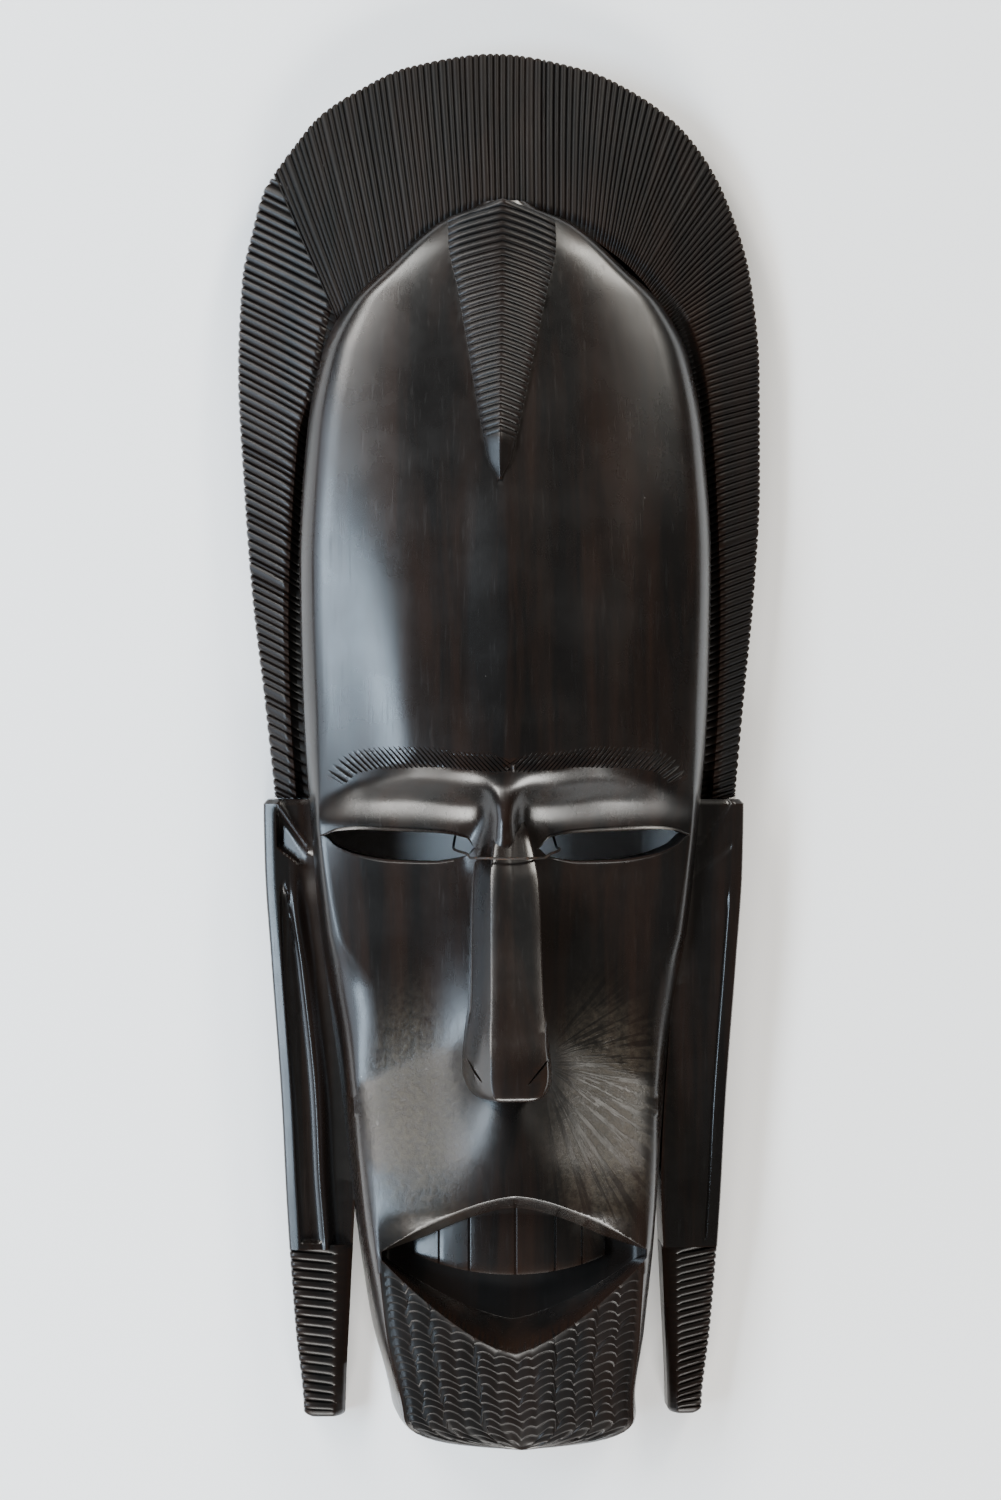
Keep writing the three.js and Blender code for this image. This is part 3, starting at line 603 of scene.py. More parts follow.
def face_block():
    """Rows from the top of the forehead to the chin, closest at the brows; in each, shares from one side
    wall to the other, a small round at the wall's top and two points far below."""
    y = np.concatenate([
        np.linspace(194, 24, 58, endpoint=False), np.linspace(24, -46, 60, endpoint=False),
        np.linspace(-46, -142, 48, endpoint=False), np.linspace(-142, -234, 100, endpoint=False),
        CHIN_Y + CHIN_ROUND * (1 - np.sin(np.linspace(0, math.pi / 2, 12))),
    ])[:, None]
    inner = np.linspace(0, 1, CORE_COLUMNS)[None, :] * crest_share(y)
    outer = crest_share(y) + (1 - crest_share(y)) * np.array([[0.2, 0.4, 0.6, 0.8, 0.93, 1.0]])
    right = np.concatenate([inner, outer], axis=1)
    share = np.concatenate([-right[:, :0:-1], right], axis=1)
    half = face_half(y)
    x = share * half
    z = face_height(x, y) - EDGE_ROUND * smooth((np.abs(share) - 0.95) / 0.05)
    return solid("face", leaning(side_by_side((x, y, z), (half, y, BELOW), (-half, y, BELOW))))


block = face_block()

# %% [markdown]
# The hair: a flat band round the forehead, combed outward with a gouge about 3 mm wide. 240 strokes
# run from a deep channel beside the forehead to the notched rim. A few guide strokes give where a stroke
# starts and ends and how wide the band is, and all others are spaced evenly between them. On the left the
# slanting strokes meet the upright ones of the crown in a rough seam, so they are two solids joined.

# %% Guides of the hair
STROKE_PITCH, STROKE_WANDER, STROKE_CHANCE = 3.1, 0.10, 0.16
STROKE_SHAPE = np.array([0.0, 0.07, 0.2, 0.38, 0.62, 0.8, 0.93])
LEFT_DEPTH, CROWN_DEPTH = 0.95, 0.55
RIM_SCALLOP, RIM_Z, HAIR_END_Y = 0.8, 14.0, -17.0
CHANNEL_BACK = 2.6
CHANNEL_SINKS = [(7.5, 0.4), (7.0, 0.5), (4.2, 0.7), (1.2, 1.0), (0.3, 1.0)] + [(0, 1)] * 5
hair_rise = along([(-20, 9), (60, 10), (160, 12), (250, 16)])
# Each guide: outer x and y, inner x and y, full width of the band there.
LEFT_GUIDES = [
    (-82, -17, -66.5, -25.5, 17), (-85.8, 18, -69, 9, 19), (-90.2, 55, -69.8, 44, 23),
    (-93.2, 95, -68.6, 81, 28), (-95.2, 135, -65.6, 118, 34), (-93.8, 168, -60.6, 150, 40),
    (-90.5, 184, -55.5, 165, 48), (-86, 200, -52, 180.5, 58), (-83.2, 204.6, -51, 186, 62),
]
CROWN_GUIDES = [
    (-82.4, 206.0, -58.5, 149, 63), (-75.5, 215.5, -54.5, 152.5, 66), (-66, 227, -49, 158, 71),
    (-52, 236.5, -40, 166, 71), (-34, 245, -27.5, 180, 65), (-3, 250, -3, 190, 60), (28, 245, 25, 184, 61),
    (49, 235.5, 37, 177, 60), (66, 222, 44, 171.5, 55), (80, 200, 52, 163, 46), (89.9, 168, 60.5, 150, 34),
    (92.9, 135, 66, 126, 28), (93, 95, 69, 86.5, 25), (90.8, 55, 70, 47, 22), (87.2, 18, 69, 11, 19),
    (84, -17, 66.5, -22.5, 18),
]
print("guide strokes:", len(LEFT_GUIDES), "at the left,", len(CROWN_GUIDES), "over crown and right")

# %% Combed strokes
def combed(name, guides, pitch, deepest, channel, sag, finish):
    """Strokes between guides. Places run along the outer line; each stroke has seven columns shaped like a
    pillow with a sharp valley. The band rises from the rim at a slope given by the full width of the hair
    there; each stroke sinks into the channel at its inner end, and its valley notches the rim."""
    ends = np.array(guides, float)
    way = np.concatenate([[0], np.cumsum(np.linalg.norm(np.diff(ends[:, :2], axis=0), axis=1))])
    lines = [along(list(zip(way, ends[:, i]))) for i in range(5)]
    count = round(way[-1] / pitch)
    wobble = random.normal(0, STROKE_WANDER, count + 1)
    deep = 1 + random.normal(0, STROKE_CHANCE, count + 1)
    place = np.arange(count)[:, None] + STROKE_SHAPE
    number = np.minimum(place.astype(int), count)
    after = np.minimum(number + 1, count)
    place = place + wobble[number] * (1 - STROKE_SHAPE) + wobble[after] * STROKE_SHAPE
    s = np.clip(place.ravel() / count, 0, 1) * way[-1]
    outer_x, outer_y, inner_x, inner_y, full = (line(s) for line in lines)
    length = np.hypot(outer_x - inner_x, outer_y - inner_y)
    low = valley(np.tile(STROKE_SHAPE, count), 0.55)
    cut = deepest * deep[number].ravel() * low
    reach = length - RIM_SCALLOP * low
    wide = channel(s / way[-1])
    back = CHANNEL_BACK + wide
    steps = [0 * reach, CHANNEL_BACK + wide * 0.55, back, back + 1.2, back + 2.8]
    steps += [np.maximum(reach * share, back + 3.2 + share) for share in (0.45, 0.62, 0.8)]
    steps += [reach - 1.6, reach - 0.4]
    open_way = np.clip((wide - 0.8) / 3, 0.10, 1)
    rows = []
    for distance, (sink, share) in zip(steps, CHANNEL_SINKS):
        rise = hair_rise(outer_y) * np.clip(1.25 * (reach - distance) / full, 0, 1)
        part = np.clip(distance / length, 0, 1)
        bend = sag * length * part * (1 - part)
        rows.append((distance, RIM_Z + (rise - sink * open_way) - cut * share, bend))
    rows += [(reach, RIM_Z - 2.2 - cut * 0.6, 0), (reach - 0.15, RIM_Z - 6, 0), (length - 0.6, 4.0, 0)]
    rows += [(length - 0.8, BELOW, 0), (0, BELOW, 0)]
    x_way, y_way = (outer_x - inner_x) / length, (outer_y - inner_y) / length
    ring = [xyz(inner_x + x_way * distance + y_way * bend, inner_y + y_way * distance - x_way * bend, z)
            for distance, z, bend in rows]
    print(name, "strokes:", count)
    return solid(name, np.stack(ring, axis=1), finish)

# %% Hair
def hair_left():
    """The slanting strokes beside the left temple, up to the seam, where the channel closes."""
    channel = along([(0, 4.6), (0.62, 4.2), (0.74, 0.6), (1, 0)])
    return combed("hair_left", LEFT_GUIDES, STROKE_PITCH, LEFT_DEPTH, channel, 0.03, COMBED)


def hair_crown():
    """The upright strokes of the crown and the fan down the right side."""
    channel = along([(0, 0.8), (0.2, 0.8), (0.5, 1.2), (0.62, 3.2), (1, 4.8)])
    return combed("hair_crown", CROWN_GUIDES, STROKE_PITCH * 0.80, CROWN_DEPTH, channel, -0.02, DULL)


HAIR = [hair_left(), hair_crown()]

# %% [markdown]
# The widow's peak: a wedge shaped like a low roof, with 32 strokes on each slope that rise to its ridge,
# and a smooth tip. Rings go down the wedge, in and out of every stroke, and bend into a chevron.

# %% Widow's peak
PEAK_TOP_Y, PEAK_TIP_Y, PEAK_BARE_Y = 194.0, 94.0, 110.0
PEAK_STROKES = 32
PEAK_RIDGE, PEAK_STEP, PEAK_NOTCH = 5.0, 2.0, 1.0
peak_half = along([(185, 19), (165, 15.5), (143, 11.5), (127, 8.8), (112, 6), (101, 3.8), (94, 0.8)])
peak_axis = along([(PEAK_TOP_Y, -1.6), (PEAK_TIP_Y, -3.2)])


def widows_peak():
    """Across the wedge the roof is two straight slopes, softly bowed; the strokes of the left slope climb
    by a quarter of their way across and those of the right slope by a third."""
    pitch = (PEAK_TOP_Y - PEAK_BARE_Y) / PEAK_STROKES
    phase = np.array([0.0, 0.12, 0.35, 0.6, 0.82])
    place = stroke_places(PEAK_STROKES, phase)
    notch = np.tile(valley(phase * 0.88 + 0.06, 0.6), PEAK_STROKES) * 1.25
    bare = np.linspace(PEAK_BARE_Y, PEAK_TIP_Y, 14)
    y = np.concatenate([PEAK_TOP_Y - place * pitch, bare])[:, None]
    notch = np.concatenate([notch, 0 * bare])[:, None]
    half_way = np.array([0.07, 0.2, 0.4, 0.6, 0.8, 0.93, 0.985, 1])
    side = np.concatenate([-half_way[::-1], [0], half_way])
    rise = np.where(side < 0, 0.27, 0.36)[None, :]
    fade = np.clip(0.25 + (y - PEAK_TIP_Y) / 18, 0, 1)
    half, axis = peak_half(y), peak_axis(y)
    across_way = np.abs(side)[None, :]
    drop = half * rise * across_way * (0.75 + 0.25 * across_way) * fade
    row_y = y - drop
    x = axis + side[None, :] * half
    roof = PEAK_RIDGE + (PEAK_STEP - PEAK_RIDGE) * across_way + 0.5 * across_way * (1 - across_way)
    soft = np.select([across_way > 0.98, across_way > 0.9, across_way < 0.03], [0.7, 0.2, 0.12], 0.0)
    notch = notch * PEAK_NOTCH * np.clip(1.15 - 0.3 * across_way, 0, 1)
    z = face_height(x, row_y) + (roof - soft) * fade - notch
    return solid("widows_peak", footed(x, row_y, z, 5), COMBED)


PEAK = widows_peak()

# %% [markdown]
# The brows: 35 fine slanting cuts on each side, from a bead over the nose out to the temple, where the row
# turns down towards the outer corner of the eye. A raised rack of strokes would also serve, but the knife
# only dipped into the polished wood here, so one comb-shaped cutter a side is taken out of it.

# %% Brows
BROW_STROKES = 35
BROW_START, BROW_REACH, BROW_DEPTH, BROW_LEAN = 1.2, 61.5, 1.25, 3.6
brow_middle = along([(0, -4.2), (8, -4.4), (30, -2.4), (48, -3.2), (56, -5.8), (61.5, -10.3)])
brow_width = along([(0, 7.0), (10, 7.6), (35, 8.4), (50, 7.4), (61.5, 4.4)])


def brow(side):
    """A cutter whose underside floats just over the forehead and dips into it once a pitch, in a narrow
    valley that runs from low and inner to high and outer and fades out at its upper end."""
    phase = np.array([0.0, 0.16, 0.4, 0.65, 0.86])
    pitch = (BROW_REACH - BROW_START) / BROW_STROKES
    cut = np.tile(valley(phase * 0.9 + 0.05, 0.55), BROW_STROKES)[:, None] * 1.15
    x = (BROW_START + stroke_places(BROW_STROKES, phase) * pitch)[:, None]
    v = np.array([1.0, 1.0, 0.75, 0.45, 0.1, -0.3, -0.7, -0.92, -1.0, -1.0])[None, :]
    depth = np.array([0, 0.10, 0.35, 0.6, 0.8, 0.95, 1.0, 0.9, 0.2, 0])[None, :]
    at_x = x + BROW_LEAN * v
    y = brow_middle(x) + v * brow_width(x) / 2 * np.clip(x / 6 + 0.45, 0, 1)
    z = face_height(at_x, y) + 0.2 - BROW_DEPTH * cut * depth
    z[:, [0, -1]] = ABOVE
    return solid("brow_cuts", xyz(side * at_x, y, z), COMBED)


def brow_bead():
    """A small pointed bead where both brows meet."""
    turn = np.linspace(0, 2 * math.pi, 16, endpoint=False)
    rings = []
    for share in np.linspace(0.06, 1, 7):
        wide = 1.3 * share
        z = face_height(0.0, -6.0) + 0.9 - 2.4 * share ** 2
        rings.append(xyz(1.2 + wide * np.cos(turn), -6.6 + 1.9 * wide * np.sin(turn), z))
    rings.append(rings[-1] - np.array([0, 0, 6]))
    return solid("brow_bead", rings)


BROWS, BEAD = [brow(side) for side in SIDES], brow_bead()

# %% [markdown]
# The eyes are slits cut right through, so light from behind would show. Each has a thin raised rim on the
# upper lid that catches the light, and a lower lid that bows down more.

# %% Eye slits
EYE_INNER_X, EYE_OUTER_X = 11.0, 65.0
upper_lid = along([(11, -35), (14, -31.5), (24, -29.6), (40, -28.9), (52, -28.4), (60, -28.9), (65, -30.5)])
lower_lid = along([(11, -35), (14, -37.6), (26, -39.6), (40, -39.2), (52, -37.4), (60, -34.4), (65, -30.5)])


def eye_slit(side):
    """A lens between both lids, drawn straight down through the wood."""
    share = (1 - np.cos(np.linspace(0, math.pi, 34))) / 2
    x = EYE_INNER_X + (EYE_OUTER_X - EYE_INNER_X) * share[1:-1]
    upper, lower = upper_lid(x), lower_lid(x) - 0.02
    corners = [(upper, BELOW - 6), (upper, ABOVE), (lower, ABOVE), (lower, BELOW - 6)]
    return solid("eye_slit", np.stack([xyz(side * x, y, z) for y, z in corners], axis=1), RAW)


SLITS = [eye_slit(side) for side in SIDES]

# %% Lids
LID_SHAPES = (upper_lid, 1, 0.9, 1.7), (lower_lid, -1, 0.35, 1.2)


def lid(side, line, sign, high, wide):
    """A bead that follows a lid line: a half-round section, thin at both corners."""
    x = np.linspace(EYE_INNER_X - 0.6, EYE_OUTER_X + 0.8, 46)[:, None]
    thin = np.sin(math.pi * (x - x[0]) / (x[-1] - x[0])) ** 0.5 * 0.85 + 0.15
    v = np.array([-0.6, -0.5, 0.0, 0.35, 0.7, 1.0, 1.0])[None, :]
    lift = np.array([-5, 0.35, 1.0, 0.85, 0.4, -0.25, -5])[None, :]
    y = line(x) + sign * v * wide * thin
    base = face_height(x, line(x) + sign * 1.0)
    z = base + np.where(lift > -1, lift * high * thin, lift)
    return solid("lid", xyz(side * x, y, z))


LIDS = [lid(side, *shape) for side in SIDES for shape in LID_SHAPES]

# %% [markdown]
# The nose is a long prism: a flat front between two straight edges, a steep left flank, a right one that
# hardly falls, wings that swell just above the tip, and a rounded end. The left edge is a tiny arc of
# three points, because a truly sharp edge would catch no light, and the bright line on that edge is what
# makes it look carved.

# %% Lines of the nose
NOSE_TOP_Y, NOSE_END_Y, NOSE_TIP, NOSE_BASE_Z = -24.0, -112.0, 9.4, 30.0
nose_half = along([
    (-24, 6.5), (-31, 8.4), (-38, 10.0), (-48, 11.4), (-88, 12.4), (-101, 14.0), (-112, 14.8),
])
nose_front = along([(-24, 3.2), (-35, 3.3), (-45, 3.8), (-90, 4.4), (-112, 5.6)])
nose_shift = along([(-17, 0), (-45, -1.5), (-95, -1.5), (-112, -0.6)])
nose_ridge = along([
    (-24, 46.0), (-31, 51.4), (-38, 55.2), (-45, 58.4), (-70, 64.2), (-95, 71.0), (-112, 75.4),
])
nose_axis = along([(-9, 0), (-40, -1.2), (-121, -1.2)])
FLANK_STEEP, TIP_DROP = (1.9, 0.08), 8.0
GROOVE_RADIUS = 0.95, 0.55
nose_wing = along([(-9, 0), (-92, 0), (-104, 1.0), (-112, 1.0)])
print("nose:", round(NOSE_TOP_Y - NOSE_END_Y + NOSE_TIP, 1), "mm long")

# %% Nose
def nose():
    """Section from left to right: deep wall, wing, hollowed flank, round edge, flat front, then the same
    back with a plain edge. Widths and heights come from the lines along the nose; past its end the width
    closes like a power of the cosine, which makes the round tip."""
    y = np.concatenate([
        np.linspace(NOSE_TOP_Y, -48, 26, endpoint=False), np.linspace(-48, -98, 22, endpoint=False),
        np.linspace(-98, NOSE_END_Y, 12),
    ])
    lines = nose_half, nose_front, nose_ridge, nose_axis, nose_wing
    half, front, top, axis, wing = (line(y) for line in lines)
    turn = np.linspace(0, math.pi / 2, 13)[1:]
    close = np.clip(np.cos(turn), 0.05, 1) ** 0.45
    y = np.concatenate([y, NOSE_END_Y - NOSE_TIP * np.sin(turn)])
    half, front, wing = (np.concatenate([line, line[-1] * close]) for line in (half, front, wing))
    top = np.concatenate([top, top[-1] - TIP_DROP * (1 - np.cos(turn)) ** 5])
    axis = np.concatenate([axis, np.full(len(turn), axis[-1])])
    round_off = np.minimum(0.7, front * 0.3)
    section = []
    for side, steep, edge in zip((-1, 1), FLANK_STEEP, (1, 0)):
        fall = (half - front) * steep + 0.35 * (1 - edge)
        flank = [
            (half, NOSE_BASE_Z - top), (half, -fall - 2.0 * wing - 0.5),
            (half - 0.6 - wing, -fall + 2.2 * wing * edge),
            (half * 0.62 + front * 0.38, -fall * 0.60 + 0.9 * wing * edge),
            (half * 0.3 + front * 0.7, -fall * 0.30 + 0.1 - 0.35 * (1 - edge)),
            (front + round_off * 0.8, -0.35 - edge * (0.40 + round_off)),
            (front + round_off * 0.2, -0.35 - edge * (0.15 + round_off * 0.25)),
            (front - round_off, -0.35 + 0.05 * (1 - edge)), (front * 0.35, -0.05),
        ]
        section += [(side * x, z) for x, z in (flank if side < 0 else flank[::-1])]
    shift = [0, 0, 0, 0.4, 0.7] + [1] * 8 + [0.7, 0.4, 0, 0, 0]
    ring = [xyz(axis + x + by * nose_shift(y), y, top + z) for (x, z), by in zip(section, shift)]
    return solid("nose", np.stack(ring, axis=1))


def wing_groove(side):
    """A narrow cut behind each wing, slanting from the outer edge in towards the front. It lies on the
    flank, so it starts as much lower as that flank falls."""
    t = np.linspace(0, 1, 18)
    x = side * (15.4 - 7.6 * t) - 1.2 - 1.2 * t
    y = -104.5 - 10.5 * t
    z = nose_ridge(y) - FLANK_STEEP[side > 0] * np.clip(10 - 7.6 * t, 0, None) - 0.3
    r = GROOVE_RADIUS[side > 0] * np.sin(math.pi * np.clip(t * 0.94 + 0.03, 0, 1)) ** 0.5
    ring = [xyz(x + a * r, y, z + b * r * 2.4) for a, b in ((1, 0), (0, 1), (-1, 0), (0, -1))]
    return solid("wing_groove", np.stack(ring, axis=1))


NOSE, GROOVES = nose(), [wing_groove(side) for side in SIDES]

# %% [markdown]
# The mouth: a leaf-shaped pocket is cut into the muzzle, so that its edge is the arched upper lip with a
# steep flat bevel inside. Then the row of six teeth is set in it, as they were left standing when the wood
# around them was cut away. Below the teeth the pocket has a level floor and climbs steeply to the sharp
# lower edge of the lip.

# %% Mouth pocket
POCKET_Z = 37.5
BEVEL_LONG, BEVEL_DROP = 4.8, 10.0
FLOOR_WAY = [
    (0, 0), (0.3, -0.02), (0.6, -0.04), (0.795, -0.05), (0.80, -0.045), (0.81, 0.0), (0.9, 0.48), (1, 1),
]


def mouth_pocket():
    """From the upper edge down: a flat bevel, a steep drop behind the teeth, a level floor under them, and a
    steep straight climb to the lower edge."""
    x = np.sin(np.linspace(-1, 1, 84) * math.pi / 2)[:, None] * (MOUTH_HALF - 0.6) + MOUTH_AXIS
    high, low = lip_y(x), lower_lip_y(x)
    crest = face_height(x - jaw_lean(high), high)
    rim = face_height(x - jaw_lean(low), low) + 0.3
    from_middle = np.clip(np.abs(x - MOUTH_AXIS) / MOUTH_HALF, 0, 1)
    fine = np.clip((1 - from_middle ** 2.4) * 1.6, 0.06, 1)
    level = 1 - from_middle ** 36
    bevel = [(1.0, 0.45), (0.35, 0.0), (-0.35, -0.42), (-0.6, -0.80), (-BEVEL_LONG, -BEVEL_DROP)]
    rows_y = [high + 1.1 * fine] + [high + step * fine for step, rise in bevel]
    rows_z = [np.full_like(x, ABOVE)] + [crest + rise * fine for step, rise in bevel]
    start = rows_y[-1] - 0.4 * fine
    span = np.minimum(low - start, -0.5)
    floor = np.minimum(rim - (rim - POCKET_Z) * level, rows_z[-1])
    for share, climb in FLOOR_WAY:
        rows_y.append(start + span * share)
        rows_z.append(floor + (rim - floor) * climb)
    rows_y.append(rows_y[-1] - 0.05)
    rows_z.append(np.full_like(x, ABOVE))
    y, z = np.concatenate(rows_y, axis=1), np.concatenate(rows_z, axis=1)
    return solid("mouth_pocket", xyz(x, y, z), POLISHED)


POCKET = mouth_pocket()

# %% Teeth
TOOTH_EDGES = [-35.0, -26.2, -15.7, 0.5, 14.5, 24.2, 32.8]
TOOTH_TOP_Y, TOOTH_LOW_Y, TOOTH_CORNER_Y, TOOTH_Z = -161.0, -184.0, -177.0, 47.3
ROW_BACK, PARTING_DEEP = 8.5, 0.7


def teeth():
    """One strip of teeth. Each is flat across with a narrow valley to its neighbour; the row bends back
    with the square of the way across and narrows to both corners like a lens."""
    share = np.array([0.0, 0.02, 0.045, 0.2, 0.5, 0.8, 0.955, 0.98])
    parting = np.tile([1.0, 0.4, 0, 0, 0, 0, 0, 0.4], len(TOOTH_EDGES) - 1)
    edges = np.array(TOOTH_EDGES)
    inside = edges[:-1, None] + np.diff(edges)[:, None] * share
    x = np.concatenate([inside.ravel(), edges[-1:]])[:, None]
    lens = 1 - np.clip(np.abs(x) / 36.6, 0, 1) ** 2.1
    top = TOOTH_CORNER_Y + (TOOTH_TOP_Y - TOOTH_CORNER_Y) * lens + 5
    low = TOOTH_CORNER_Y + (TOOTH_LOW_Y - TOOTH_CORNER_Y) * lens
    z = TOOTH_Z - ROW_BACK * (x / 36) ** 2 - PARTING_DEEP * np.append(parting, 1.0)[:, None]
    v = np.array([0.0, 0.0, 0.25, 0.5, 0.7, 0.85, 0.95, 1.0, 1.0])[None, :]
    bulge = np.array([0.0, -0.6, -0.2, 0.0, 0.0, 0.0, -0.1, -0.5, 0.0])[None, :]
    height = z + bulge
    height[:, [0, -1]] = POCKET_Z - 1.5
    y = top + (low - top) * v
    return solid("teeth", xyz(x + MOUTH_AXIS, y, height))


TEETH = teeth()

# %% [markdown]
# The beard: twelve upright columns of scales on the chin, six a side. Each scale is a short gouge stroke
# that falls towards the middle and steps down under the next. It is a relief on the jaw: a sheet of rows
# and columns whose height is the jaw's own plus the scale pattern.

# %% Beard
BEARD_ROWS, BEARD_COLUMNS = 23, 6
BEARD_TOP_Y, BEARD_LIFT, BEARD_BORDER = -176.0, 0.45, 1.8
BEARD_EDGE, LOWEST_AT = 0.985, 0.35
SCALE_WAY = np.array([0.0, 0.3, 0.6, 0.76, 0.82, 0.90, 0.97])
SCALE_RISE = np.array([0.0, 0.4, 0.8, 1.0, 0.97, 0.55, 0.06])


def beard():
    """Points follow the strokes: a row of them lies at its place down the jaw, less the fall of its arc
    across its column and a shift of every other column. In a row the height climbs slowly and drops fast.
    Beside the lip and the chin's edge it is plain."""
    left = -np.linspace(1, 0, BEARD_COLUMNS * 8 + 1)[:-1]
    share = np.concatenate([left, np.linspace(0, 1, BEARD_COLUMNS * 8 + 1)])[None, :]
    column = np.abs(share) * BEARD_COLUMNS
    number = np.floor(np.clip(column, 0, BEARD_COLUMNS - 1e-6))
    inward = 1 - (column - number)
    outer_fall = 0.30 * np.clip(1 - inward / LOWEST_AT, 0, None) ** 2
    fall = outer_fall + 0.85 * np.clip((inward - LOWEST_AT) / (1 - LOWEST_AT), 0, None) ** 1.6
    shift = 0.5 * (number % 2) + 0.25 * np.sin(number * 2.1 + 5 * (share > 0))
    row = (np.arange(-2, BEARD_ROWS + 2)[:, None] + SCALE_WAY[None, :]).ravel()[:, None]
    step = np.tile(SCALE_RISE, BEARD_ROWS + 4)[:, None]
    row_height = (BEARD_TOP_Y - CHIN_Y) / BEARD_ROWS
    y = BEARD_TOP_Y - row_height * (row + fall - shift + 0.14 * np.sin(row * 0.9 + share * 9))
    y = np.clip(y, CHIN_Y + 1.2, BEARD_TOP_Y) + 0.004 * (BEARD_ROWS / 2 - row)
    half = face_half(y - 0.6) * crest_share(y) * BEARD_EDGE
    x = share * half + 0.5 * np.sin(row * 1.7 + share * 23) * smooth((1 - np.abs(share)) / 0.15)
    rounded = 1 - 0.4 * np.abs(2 * inward - 1) ** 4
    under_lip = smooth((lower_lip_y(x + jaw_lean(y)) - y - 0.6) / 1.6)
    plain = under_lip * smooth((y - CHIN_Y - BEARD_BORDER) / 1.4)
    relief = BEARD_LIFT * step * rounded * plain
    z = face_height(x, y) + 0.25 + relief - 0.9 * smooth((np.abs(share) - 0.94) / 0.06)
    return solid("beard", leaning(footed(x, y, z, 7)), COMBED)


BEARD = beard()

# %% [markdown]
# The ears hang free of the jaw at their lower ends. Each is a long bar. The left one has a leaf-shaped
# pocket under the temple, below it a groove that starts in a pointed arch between an outer rail and a
# ridge, then a hollow valley next to the cheek. The right one is flatter and only scored. The lower third
# is a ladder of cuts. Across the bar everything is measured from its outer edge, so one function of that
# distance and of y gives each relief, and the columns of points follow its lines.

# %% Ear lines
EAR_TOP_Y, EAR_BOTTOM_Y, EAR_FRAME_END_Y = -18.0, -239.0, -176.5
EAR_ARCH_Y, EAR_DEPTH, EAR_VALLEY = -46.0, 2.3, 4.4
RUNGS = {-1: 18, 1: 23}
RUNG_FALL = {-1: 1.6, 1: 2.8}
RUNG_CUT, RUNG_CHANCE = 1.35, 0.14
EAR_NARROWER = {-1: 0.0, 1: 3.0}
ear_outer = along([
    (-18, 85.8), (-40, 85.4), (-76, 83), (-126, 79.4), (-162, 77.6), (-208, 74.4), (-238, 71.5),
])
ear_inner = along([(-18, 62), (-100, 56), (-155, 53.2), (-190, 54.6), (-238, 56.5)])
ear_top = along([(-18, 23), (-60, 24), (-120, 22.5), (-180, 20.5), (-238, 16.5)])
groove_low = along([(-46, 6.2), (-50, 5.2), (-58, 4.4), (-80, 3.7), (-176, 3.9)])
groove_high = along([
    (-46, 6.4), (-50, 7.4), (-58, 8.9), (-80, 10.6), (-126, 12.0), (-150, 11.9), (-176, 12.4),
])
ridge_middle = along([
    (-30, 10.0), (-46, 9.6), (-58, 9.9), (-80, 11.3), (-126, 12.7), (-150, 12.6), (-176, 13.1),
])
GROOVE_WAY = [0, 0.05, 0.14, 0.26, 0.5, 0.76, 0.82, 1.0]
GROOVE_SINK = [0, 0.30, 0.75, 0.95, 1.0, 1.0, 0.50, 0.18]
RAIL_PARTS = np.array([0, 0.09, 0.22, 0.42, 0.62, 0.8, 0.92, 1])
GROOVE_PARTS = np.array([0.05, 0.12, 0.22, 0.34, 0.46, 0.57, 0.67, 0.76, 0.82, 0.88, 0.94, 1])
SCORED_AT = np.array([
    0, 0.35, 0.9, 1.7, 2.6, 3.4, 4.0, 4.35, 4.6, 4.8, 5.0, 5.25, 5.6, 6.4, 7.5, 9, 10.5, 12, 13.5, 15, 17,
])
VALLEY_PARTS = np.array([0.2, 0.55, 0.9, 1.3, 1.8, 2.5, 3.3, 4.2, 5.2, 6.4])
POCKET_EDGE, POCKET_DEPTH = 4.3, 4.4
print("width of the ears at their middle:", np.round(ear_outer(-130) - ear_inner(-130), 1), "mm")

# %% Reliefs of the ears
def pocket_lines(d):
    """The two slanting lines of the pocket under the temple."""
    return -18.2 - 1.42 * (d - POCKET_EDGE), -34.6 - 0.80 * (d - POCKET_EDGE)


def ear_relief(d, y):
    """Depth below the ear's top at a distance d from its outer edge: the rail falls outward at a third, then
    the deepest of the pointed groove, the valley towards the cheek with its round ridge, and the pocket
    between two slanting lines under the temple, whose upper line carries a raised rim."""
    rail = 0.34 * np.clip(3.4 - d, 0, None) + 0.5 * np.clip(1 - d / 0.5, 0, 1) ** 2
    part = np.clip((d - groove_low(y)) / (groove_high(y) - groove_low(y)), 0, 1)
    groove = EAR_DEPTH * np.interp(part, GROOVE_WAY, GROOVE_SINK) * smooth((EAR_ARCH_Y - y) / 8)
    groove = groove * smooth((y - EAR_FRAME_END_Y) / 1.6)
    ridge = 0.5 * np.clip(np.abs(d - ridge_middle(y)) / 1.1, 0, 1) ** 2
    ridge = ridge * smooth((EAR_ARCH_Y - y) / 10) * (d > 8)
    into = np.clip((d - ridge_middle(y) - 0.8) / 4.6, 0, 1)
    valley = EAR_VALLEY * np.sin(into * math.pi / 2) ** 1.2 * smooth((-34 - y) / 26)
    upper, lower = pocket_lines(d)
    inside = np.minimum.reduce([(upper - 2.0 - y) * 0.6, (y - lower) * 0.8, d - POCKET_EDGE])
    pocket = (POCKET_DEPTH - 0.30 * (d - POCKET_EDGE)) * smooth(inside / 1.3)
    rim = -0.8 * np.exp(-((y - upper) / 2.2) ** 2) * smooth((d - 2) / 3)
    slope = 1.6 * smooth((d - 12) / 8) * smooth((y + 34) / 12)
    return np.maximum.reduce([rail, groove, valley, pocket]) + ridge + rim + slope


